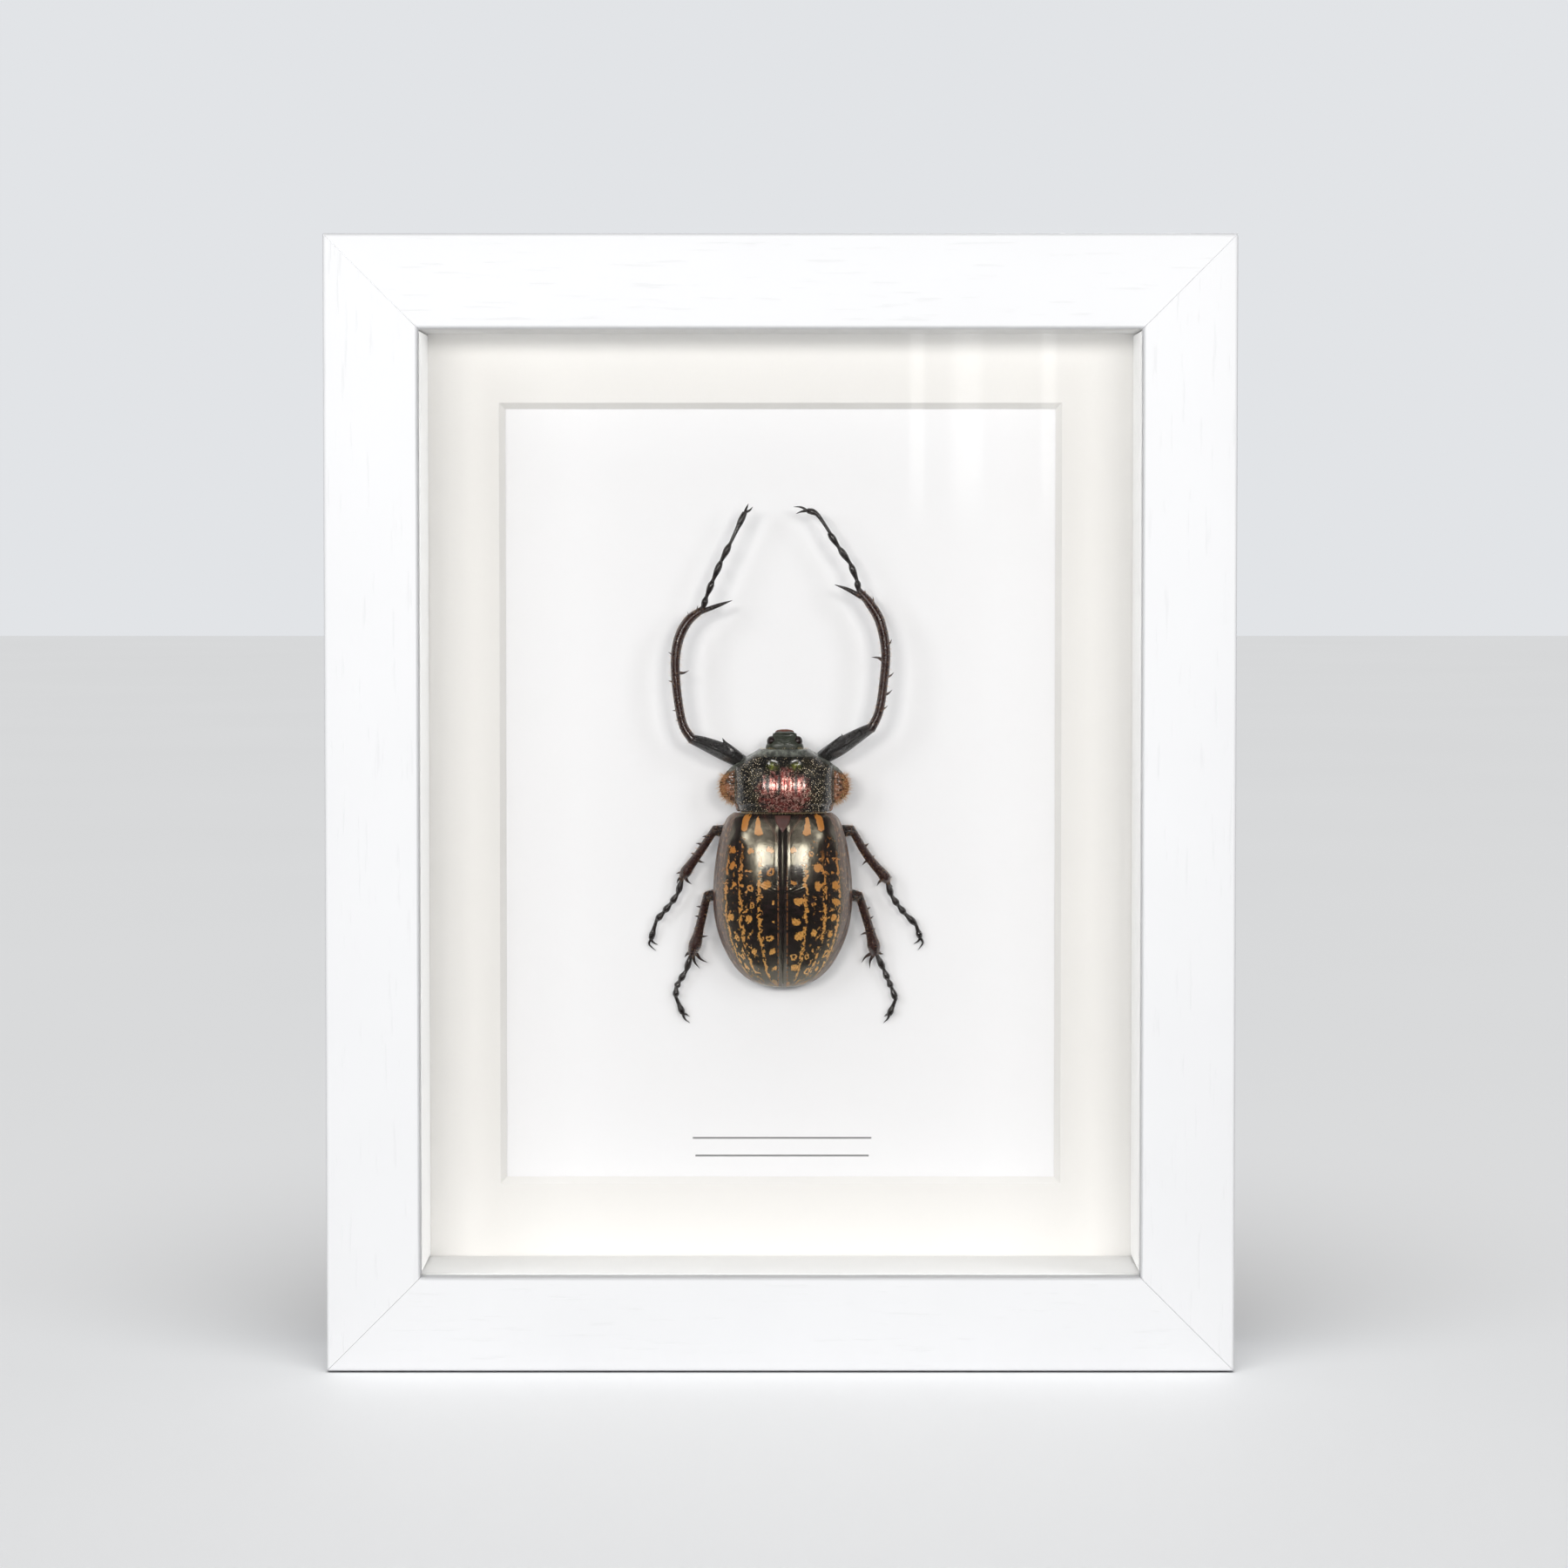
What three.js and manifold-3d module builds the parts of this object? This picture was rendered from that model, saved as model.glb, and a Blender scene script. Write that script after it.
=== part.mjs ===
// A framed long-armed scarab: a white wooden box frame with glass, a bevelled mat and a card,
// and a dried beetle glued by its belly to the card.
// Millimetres. +Z is up, the front faces -Y, and +X is to the right seen from the front.
// The origin is the middle of the frame's underside.

import * as THREE from "three";
import { mergeVertices } from "three/addons/utils/BufferGeometryUtils.js";
import Module from "manifold-3d";

const wasm = await Module();
wasm.setup();

// Driving dimensions of the frame. Depths run back from the front plane of the moulding.
const outerWidth = 203.2;
const outerHeight = 254;
const outerDepth = 38;
const mouldingFace = 21;
const rebate = 5;
const lipDepth = 4;
const edgeRound = 0.9;
const mitreGap = 0.1;
const layerGap = 0.1;

// Driving dimensions of what the rebate holds, from the glass back.
const glassThickness = 2;
const spacerDepth = 21.7;
const matThickness = 1.5;
const matWindowWidth = 128.8;
const matWindowHeight = 179.5;
const matWindowMiddle = 127.5;
const matBevel = 1.3;
const cardThickness = 0.5;
const boardThickness = 3;

// Driving dimensions of the fittings behind the board.
const tab = { width: 10, length: 13, thickness: 0.5, inWood: 4, clearance: 0.2 };
const tabsAcross = 50;
const tabsUp = 65;
const hanger = { width: 46, height: 11, thickness: 0.8, teeth: 9, toothedHalf: 13, toothDepth: 1.6, up: 196 };
const rivet = { out: 19, headRadius: 2.4, headHeight: 1.1, shankRadius: 1.1, holeRadius: 1.4 };

// Driving dimensions of the beetle, in its own frame: x to its right side as seen from the front,
// y along the body towards the head, z up from the card. Its origin is where the pronotum meets the elytra.
const beetlePlace = { x: 0.5, z: 124.1 };
const bellyGap = 0.3;
const jointGap = 0.28;
const elytronThickness = 0.9;

const frontPlane = -outerDepth / 2;
const glassFront = frontPlane + lipDepth + layerGap;
const spacerFront = glassFront + glassThickness + layerGap;
const matFront = spacerFront + spacerDepth + layerGap;
const cardFront = matFront + matThickness + layerGap;
const boardFront = cardFront + cardThickness + layerGap;
const tabFront = boardFront + boardThickness + layerGap;
const rebateWidth = outerWidth - 2 * (mouldingFace - rebate);
const rebateHeight = outerHeight - 2 * (mouldingFace - rebate);
const sheetWidth = rebateWidth - 4 * layerGap;
const sheetHeight = rebateHeight - 4 * layerGap;

const finishes = {
  paintedWood: { color: 0xf4f5f6, roughness: 0.5, metalness: 0 },
  clearGlass: { color: 0xeef6f4, roughness: 0.03, metalness: 0, transparent: true, opacity: 0.2 },
  whiteFoam: { color: 0xf0f0ef, roughness: 0.9, metalness: 0 },
  matBoard: { color: 0xf3f1ec, roughness: 0.9, metalness: 0 },
  whiteCard: { color: 0xf4f5f6, roughness: 0.85, metalness: 0 },
  brownBoard: { color: 0x8a6a48, roughness: 0.8, metalness: 0 },
  steel: { color: 0xb9bcc0, roughness: 0.4, metalness: 1 },
  brass: { color: 0xc8a95a, roughness: 0.35, metalness: 1 },
  blackShell: { color: 0x17130f, roughness: 0.25, metalness: 0 },
  coppergreenShell: { color: 0x2b3a22, roughness: 0.25, metalness: 0.3 },
  spottedShell: { color: 0x3a2418, roughness: 0.25, metalness: 0 },
  brownShell: { color: 0x2a130c, roughness: 0.3, metalness: 0 },
};

// A closed geometry as a solid, with its vertices merged by place alone.
function solidOf(geometry) {
  const bare = geometry.index ? geometry.toNonIndexed() : geometry.clone();
  bare.deleteAttribute("normal");
  bare.deleteAttribute("uv");
  const merged = mergeVertices(bare, 1e-4);
  const vertProperties = merged.attributes.position.array;
  const triVerts = new Uint32Array(merged.index.array);
  return new wasm.Manifold(new wasm.Mesh({ numProp: 3, vertProperties, triVerts }));
}

function geometryOf(solid) {
  const mesh = solid.getMesh();
  const geometry = new THREE.BufferGeometry();
  geometry.setAttribute("position", new THREE.BufferAttribute(new Float32Array(mesh.vertProperties), 3));
  geometry.setIndex(new THREE.BufferAttribute(new Uint32Array(mesh.triVerts), 1));
  geometry.computeVertexNormals();
  return geometry;
}

function joined(solids) {
  return solids.reduce((sum, next) => sum.add(next));
}

// The largest body of a solid, which is what is left of a limb once its root is cut to fit.
function largestBody(solid) {
  const bodies = solid.decompose();
  return bodies.reduce((best, next) => (next.volume() > best.volume() ? next : best));
}

function named(name, geometry, finish) {
  const mesh = new THREE.Mesh(geometry, new THREE.MeshStandardMaterial(finishes[finish]));
  mesh.name = name;
  return mesh;
}

// A closed skin over a row of rings with the same number of points, capped at both ends.
function loft(rings) {
  const count = rings[0].length;
  const positions = [];
  const triangles = [];
  rings.forEach((ring) => ring.forEach((point) => positions.push(...point)));
  for (let row = 0; row + 1 < rings.length; row += 1) {
    for (let k = 0; k < count; k += 1) {
      const a = row * count + k;
      const b = row * count + ((k + 1) % count);
      triangles.push(a, b, b + count, a, b + count, a + count);
    }
  }
  [0, rings.length - 1].forEach((row) => {
    const ring = rings[row];
    const middle = [0, 1, 2].map((axis) => ring.reduce((sum, point) => sum + point[axis], 0) / count);
    const centre = positions.push(...middle) / 3 - 1;
    for (let k = 0; k < count; k += 1) {
      const pair = [row * count + k, row * count + ((k + 1) % count)];
      triangles.push(centre, ...(row === 0 ? pair.reverse() : pair));
    }
  });
  const corner = (i) => new THREE.Vector3().fromArray(positions, triangles[i] * 3);
  let volume = 0;
  for (let i = 0; i < triangles.length; i += 3) {
    volume += corner(i).dot(corner(i + 1).cross(corner(i + 2)));
  }
  if (volume < 0) triangles.reverse();
  const geometry = new THREE.BufferGeometry();
  geometry.setAttribute("position", new THREE.Float32BufferAttribute(positions, 3));
  geometry.setIndex(triangles);
  return geometry;
}

// A tapering limb through points, with one radius for each point. Its rings stand across the path.
function limb(points, radii, { sides = 8, steps = 8, height = 1 } = {}) {
  const path = new THREE.CatmullRomCurve3(points.map((point) => new THREE.Vector3(...point)));
  const up = new THREE.Vector3(0, 0, 1);
  const rings = [];
  for (let step = 0; step <= steps; step += 1) {
    const t = step / steps;
    const along = path.getTangent(t);
    const side = new THREE.Vector3().crossVectors(along, up).normalize();
    const rise = new THREE.Vector3().crossVectors(side, along);
    const place = t * (radii.length - 1);
    const before = Math.min(Math.floor(place), radii.length - 2);
    const radius = THREE.MathUtils.lerp(radii[before], radii[before + 1], place - before);
    const ring = [];
    for (let k = 0; k < sides; k += 1) {
      const angle = (2 * Math.PI * (k + 0.5)) / sides;
      const point = path.getPoint(t);
      point.addScaledVector(side, radius * Math.cos(angle));
      point.addScaledVector(rise, radius * height * Math.sin(angle));
      ring.push(point.toArray());
    }
    rings.push(ring);
  }
  return solidOf(loft(rings));
}

// A spine or tooth: a five-sided cone from its base to its tip.
function spine(base, tip, radius) {
  const from = new THREE.Vector3(...base);
  const way = new THREE.Vector3(...tip).sub(from);
  const cone = new THREE.ConeGeometry(radius, way.length(), 5);
  cone.translate(0, way.length() / 2, 0);
  const up = new THREE.Vector3(0, 1, 0);
  cone.applyQuaternion(new THREE.Quaternion().setFromUnitVectors(up, way.normalize()));
  return solidOf(cone.translate(...base));
}

// A plate with its front at the given depth, centred on x = 0 and on the given height.
function sheet(name, width, height, front, thickness, finish) {
  const geometry = new THREE.BoxGeometry(width, thickness, height);
  geometry.translate(0, front + thickness / 2, outerHeight / 2);
  return named(name, geometry, finish);
}

// The moulding's section. u runs in from the outer edge, and depth runs back.
function mouldingSection() {
  const back = outerDepth / 2;
  const wall = mouldingFace - rebate;
  const lipBack = frontPlane + lipDepth;
  const section = new THREE.Shape();
  section.moveTo(0, back);
  section.lineTo(0, frontPlane + edgeRound);
  section.quadraticCurveTo(0, frontPlane, edgeRound, frontPlane);
  section.lineTo(mouldingFace - edgeRound, frontPlane);
  section.quadraticCurveTo(mouldingFace, frontPlane, mouldingFace, frontPlane + edgeRound);
  section.lineTo(mouldingFace, lipBack);
  section.lineTo(wall, lipBack);
  section.lineTo(wall, back);
  return section;
}

// A rail lies along x at the foot of the frame, below the frame's middle. Its ends are mitred at 45 degrees.
function railSolid(length, span, tabsApart) {
  const options = { depth: 1, bevelEnabled: false, curveSegments: 3 };
  const geometry = new THREE.ExtrudeGeometry(mouldingSection(), options);
  const position = geometry.attributes.position;
  for (let i = 0; i < position.count; i += 1) {
    const u = position.getX(i);
    const half = length / 2 - u - mitreGap / 2;
    position.setXYZ(i, position.getZ(i) > 0.5 ? half : -half, position.getY(i), u - span / 2);
  }
  const slots = [-1, 1].map((side) => {
    const slot = new THREE.BoxGeometry(
      tab.width + 2 * tab.clearance,
      tab.thickness + 2 * tab.clearance,
      2 * tab.inWood + 2 * tab.clearance,
    );
    const wall = mouldingFace - rebate - span / 2;
    return solidOf(slot.translate((side * tabsApart) / 2, tabFront + tab.thickness / 2, wall));
  });
  return slots.reduce((rail, slot) => rail.subtract(slot), solidOf(facingOut(geometry)));
}

// The same closed geometry with its faces turned outwards, whichever way its section was stretched.
function facingOut(geometry) {
  const bare = geometry.index ? geometry.toNonIndexed() : geometry;
  const position = bare.attributes.position;
  const corner = (i) => new THREE.Vector3().fromBufferAttribute(position, i);
  let volume = 0;
  for (let i = 0; i < position.count; i += 3) volume += corner(i).dot(corner(i + 1).cross(corner(i + 2)));
  bare.setIndex(Array.from({ length: position.count }, (_, i) => (volume < 0 ? position.count - 1 - i : i)));
  return bare;
}

// A bent-in tab of thin steel: a plate with rounded ends, half in the rail and half over the board.
function tabGeometry(span, along) {
  const outline = new THREE.Shape();
  const half = tab.width / 2;
  const start = mouldingFace - rebate - tab.inWood - span / 2;
  const end = start + tab.length;
  outline.moveTo(-half, start);
  outline.lineTo(half, start);
  outline.lineTo(half, end - half);
  outline.absarc(0, end - half, half, 0, Math.PI, false);
  const geometry = new THREE.ExtrudeGeometry(outline, {
    depth: tab.thickness,
    bevelEnabled: false,
    curveSegments: 8,
  });
  geometry.rotateX(Math.PI / 2);
  return geometry.translate(along, tabFront + tab.thickness, 0);
}

// One side of the frame, turned about the frame's middle, with its rail, tabs and the spacer behind the lip.
function frameSide({ side, turn, length, span, tabsApart, spacerLength }) {
  const group = new THREE.Group();
  group.position.z = outerHeight / 2;
  group.rotation.y = turn;
  group.add(named("frame_rail_" + side, geometryOf(railSolid(length, span, tabsApart)), "paintedWood"));
  const spacer = new THREE.BoxGeometry(spacerLength, spacerDepth, rebate - layerGap);
  const up = mouldingFace - rebate / 2 - span / 2;
  group.add(named("spacer_" + side, spacer.translate(0, spacerFront + spacerDepth / 2, up), "whiteFoam"));
  [-1, 1].forEach((end, i) => {
    group.add(named("back_tab_" + side + "_" + (i + 1), tabGeometry(span, (end * tabsApart) / 2), "steel"));
  });
  return group;
}

function frameSides() {
  const across = {
    length: outerWidth,
    span: outerHeight,
    tabsApart: tabsAcross * 2,
    spacerLength: sheetWidth,
  };
  const upright = {
    length: outerHeight,
    span: outerWidth,
    tabsApart: tabsUp * 2,
    spacerLength: sheetHeight - 2 * rebate - 2 * layerGap,
  };
  return [
    frameSide({ side: "bottom", turn: 0, ...across }),
    frameSide({ side: "top", turn: Math.PI, ...across }),
    frameSide({ side: "left", turn: Math.PI / 2, ...upright }),
    frameSide({ side: "right", turn: -Math.PI / 2, ...upright }),
  ];
}

// The mat is a board with a bevelled window, wider at the front than at the card.
function matBoard() {
  const board = new THREE.BoxGeometry(sheetWidth, matThickness, sheetHeight);
  board.translate(0, matFront + matThickness / 2, outerHeight / 2);
  const slope = matBevel / matThickness;
  const corners = (past) => {
    const reach = past * slope;
    const x = matWindowWidth / 2 - reach;
    const z = matWindowHeight / 2 - reach;
    const y = matFront + past;
    const across = [-1, 1, 1, -1];
    const upward = [-1, -1, 1, 1];
    return across.map((sign, i) => [sign * x, y, matWindowMiddle + upward[i] * z]);
  };
  const cutter = solidOf(loft([corners(-1), corners(matThickness + 1)]));
  return named("mat_board", geometryOf(solidOf(board).subtract(cutter)), "matBoard");
}

// A sawtooth hanger: a plate with two rivet holes and teeth cut along its lower edge.
function hangerPlate() {
  const outline = new THREE.Shape();
  const half = hanger.width / 2;
  const toothed = hanger.toothedHalf;
  const pitch = (2 * toothed) / hanger.teeth;
  outline.moveTo(-half, hanger.height);
  outline.lineTo(-half, 0);
  outline.lineTo(-toothed, 0);
  for (let k = 0; k < hanger.teeth; k += 1) {
    const start = -toothed + k * pitch;
    outline.lineTo(start + pitch / 2, hanger.toothDepth);
    outline.lineTo(start + pitch, 0);
  }
  outline.lineTo(half, 0);
  outline.lineTo(half, hanger.height);
  [-1, 1].forEach((side) => {
    const hole = new THREE.Path();
    hole.absarc(side * rivet.out, hanger.height / 2, rivet.holeRadius, 0, 2 * Math.PI, true);
    outline.holes.push(hole);
  });
  const geometry = new THREE.ExtrudeGeometry(outline, {
    depth: hanger.thickness,
    bevelEnabled: false,
    curveSegments: 8,
  });
  geometry.rotateX(Math.PI / 2);
  geometry.translate(0, tabFront + hanger.thickness, hanger.up);
  return named("hanger_plate", geometry, "brass");
}

function hangerRivet(name, side) {
  const under = hanger.thickness + layerGap;
  const top = under + rivet.headHeight;
  const profile = [
    new THREE.Vector2(0, 0),
    new THREE.Vector2(rivet.shankRadius, 0),
    new THREE.Vector2(rivet.shankRadius, under),
    new THREE.Vector2(rivet.headRadius, under),
    new THREE.Vector2(rivet.headRadius * 0.8, top - rivet.headHeight * 0.35),
    new THREE.Vector2(0, top),
  ];
  const geometry = new THREE.LatheGeometry(profile, 16);
  return named(name, geometry.translate(side * rivet.out, tabFront, hanger.up + hanger.height / 2), "brass");
}

// Rows of the elytra from the front back: y, half-width, crown height, edge height.
const elytraRows = [
  [-0.5, 11.2, 13.4, 9.2],
  [-1.9, 12.7, 13.9, 8.8],
  [-3.9, 13.6, 14.4, 8.3],
  [-7.8, 14.6, 15.3, 7.8],
  [-12.4, 15.3, 16.0, 7.3],
  [-16.8, 15.7, 16.3, 7.0],
  [-21.2, 15.75, 16.1, 6.7],
  [-25.4, 15.25, 15.4, 6.5],
  [-29.3, 14.2, 14.2, 6.2],
  [-32.9, 12.6, 12.5, 6.0],
  [-36.2, 10.5, 10.4, 5.7],
  [-38.7, 7.7, 8.4, 5.5],
  [-40.1, 4.4, 6.8, 5.3],
  [-40.6, 1.3, 5.9, 5.0],
];
const rimDrop = 0.9;
const archPower = 0.9;

// Points of an arch from the crown down to the edge, on one side.
function arch(width, crown, edge, count) {
  return Array.from({ length: count }, (_, k) => {
    const angle = (Math.PI / 2) * (k / (count - 1));
    const out = Math.pow(Math.sin(angle), archPower) * width;
    return [out, edge + (crown - edge) * Math.pow(Math.max(Math.cos(angle), 0), archPower)];
  });
}

// One wing case is a shell. It meets the other along the suture, which stands up as a low ridge.
function elytron(side) {
  const seam = 0.06;
  const ridge = 0.2;
  const rings = elytraRows.map(([y, width, crown, edge]) => {
    const thickness = Math.min(elytronThickness, width * 0.4, (crown - edge) * 0.5);
    const outer = arch(width - seam, crown, edge, 10);
    const inner = arch(width - seam - thickness, crown - thickness, edge - rimDrop * 0.5, 8).reverse();
    outer[0][1] += ridge;
    const rim = [width - seam - thickness * 0.5, edge - rimDrop];
    return [...outer, rim, ...inner].map(([x, z]) => [side * (x + seam), y, z]);
  });
  return solidOf(loft(rings));
}

// The shape of both wing cases filled in, grown to cut what passes below their edges.
function elytraEnvelope(grow) {
  const rings = elytraRows.map(([y, width, crown, edge]) => {
    const half = arch(width + grow, crown + grow, edge, 8);
    half.push([width + grow, edge - rimDrop - grow]);
    const mirrored = half.slice(1).reverse().map(([x, z]) => [-x, z]);
    return [...mirrored, ...half].map(([x, z]) => [x, y, z]);
  });
  return solidOf(loft(rings));
}

// Thorax and abdomen under the wing cases, one closed body with a rounded belly.
function hindBody(grow) {
  const inset = elytronThickness + 0.4 - grow;
  const tailRow = 9;
  const tailRise = 1.1;
  const rings = elytraRows.slice(0, -2).map(([y, width, crown, edge], row, rows) => {
    const half = arch(width - inset, crown - inset, edge - rimDrop, 7);
    const belly = bellyGap - grow + Math.max(0, row - tailRow) * tailRise;
    const lower = arch(width - inset, belly, edge - rimDrop, 6).reverse().slice(1);
    const right = [...half, ...lower];
    const left = right.slice(1, -1).reverse().map(([x, z]) => [-x, z]);
    const end = row === 0 ? -0.4 + grow : row === rows.length - 1 ? -grow : 0;
    return [...right, ...left].map(([x, z]) => [x, y + end, z]);
  });
  return solidOf(loft(rings));
}

// The scutellum is the small triangle between the wing cases' roots.
function scutellum(grow, reachUp, reachDown) {
  const rows = [
    [-0.4, 2.2, 13.6],
    [-1.9, 1.75, 14.15],
    [-3.2, 0.95, 14.5],
    [-4.4, 0.15, 14.7],
  ];
  const rings = rows.map(([y, half, top], row) => {
    const end = row === 0 ? grow : row === rows.length - 1 ? -grow : 0;
    const side = half + grow;
    const low = top - 0.6 - reachDown;
    const high = top + reachUp;
    return [
      [-side, y + end, low],
      [side, y + end, low],
      [side, y + end, high - 0.2],
      [0, y + end, high],
      [-side, y + end, high - 0.2],
    ];
  });
  return solidOf(loft(rings));
}

// Rows of the pronotum from the rear forward: y, half-width, crown height.
const pronotumRows = [
  [0.15, 10.8, 14.1],
  [0.8, 11.1, 14.6],
  [1.9, 11.3, 15.0],
  [2.7, 12.9, 15.2],
  [4.0, 14.1, 15.5],
  [5.8, 14.6, 15.6],
  [7.8, 14.0, 15.3],
  [9.9, 12.3, 14.7],
  [11.4, 10.3, 14.1],
  [12.65, 8.5, 13.5],
  [13.6, 6.9, 13.0],
  [14.2, 6.0, 12.5],
];
const pronotumMiddle = 0.35;
const discHalfWidth = 11;
const flangeHeight = 10.4;
const flangeEdge = 9.6;
const sternumHeight = 3;

// The domed disc with its flat side flanges, closed below by the narrow breastplate.
function pronotumShell(grow) {
  const rings = pronotumRows.map(([y, width, crown], row, rows) => {
    const half = width + grow;
    const disc = Math.min(discHalfWidth, width * 0.93) + grow;
    const right = arch(disc, crown + grow, flangeHeight + grow, 7);
    right.push([(disc + half) / 2, (flangeHeight + flangeEdge) / 2 + grow]);
    right.push([half, flangeEdge]);
    right.push([half - 0.3, flangeEdge - 0.7 - grow]);
    right.push([half * 0.8, flangeEdge - 2 - grow]);
    right.push([half * 0.5, sternumHeight + 1.6 - grow]);
    right.push([half * 0.22, sternumHeight - grow]);
    const left = right.slice(1).reverse().map(([x, z]) => [-x, z]);
    const end = row === 0 ? -grow : row === rows.length - 1 ? grow : 0;
    return [...right, ...left].map(([x, z]) => [x + pronotumMiddle, y + end, z]);
  });
  return solidOf(loft(rings));
}

// Small teeth stand along each side lobe of the pronotum.
function pronotum() {
  const teeth = { first: 2.9, last: 9.4, count: 8, radius: 0.42, length: 0.55 };
  const outline = new THREE.SplineCurve(pronotumRows.map(([y, width]) => new THREE.Vector2(width, y)));
  const cones = [];
  for (let k = 0; k < teeth.count; k += 1) {
    const y = THREE.MathUtils.lerp(teeth.first, teeth.last, k / (teeth.count - 1));
    const place = outline.getPoints(200).find((point) => point.y >= y);
    [-1, 1].forEach((side) => {
      const base = [side * (place.x - 0.3) + pronotumMiddle, y, flangeEdge - 0.3];
      const tip = [side * (place.x + teeth.length) + pronotumMiddle, y + (y - 5.5) * 0.08, flangeEdge - 0.3];
      cones.push(spine(base, tip, teeth.radius));
    });
  }
  return joined([pronotumShell(0), ...cones]);
}

// Rows of the head from the rear forward: y, half-width, crown height, underside height.
const headRows = [
  [14.6, 4.2, 12.1, 6.2],
  [15.5, 4.2, 12.0, 6.4],
  [16.25, 3.4, 11.8, 6.8],
  [17.05, 2.9, 11.4, 7.6],
  [17.85, 2.9, 11.0, 8.6],
  [18.45, 2.4, 10.5, 9.6],
];
const headMiddle = 0.45;
const eye = { out: 3.1, along: 16.15, up: 10.4, radius: 1.15 };
const clypeusHorn = { out: 2.55, along: 17.55, up: 10.6, radius: 0.5, length: 1.2 };

function head() {
  const rings = headRows.map(([y, half, top, bottom]) => {
    const middle = (top + bottom) / 2 + 0.6;
    const upper = arch(half, top, middle, 5);
    const lower = arch(half, bottom, middle, 5).reverse().slice(1);
    const right = [...upper, ...lower];
    const left = right.slice(1, -1).reverse().map(([x, z]) => [-x, z]);
    return [...right, ...left].map(([x, z]) => [x + headMiddle, y, z]);
  });
  const pieces = [solidOf(loft(rings))];
  [-1, 1].forEach((side) => {
    const ball = new THREE.SphereGeometry(eye.radius, 12, 8);
    pieces.push(solidOf(ball.translate(headMiddle + side * eye.out, eye.along, eye.up)));
    const base = [headMiddle + side * clypeusHorn.out, clypeusHorn.along, clypeusHorn.up];
    const tip = [base[0] + side * 0.1, base[1] + clypeusHorn.length, base[2] + 0.3];
    pieces.push(spine(base, tip, clypeusHorn.radius));
  });
  return joined(pieces);
}

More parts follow.
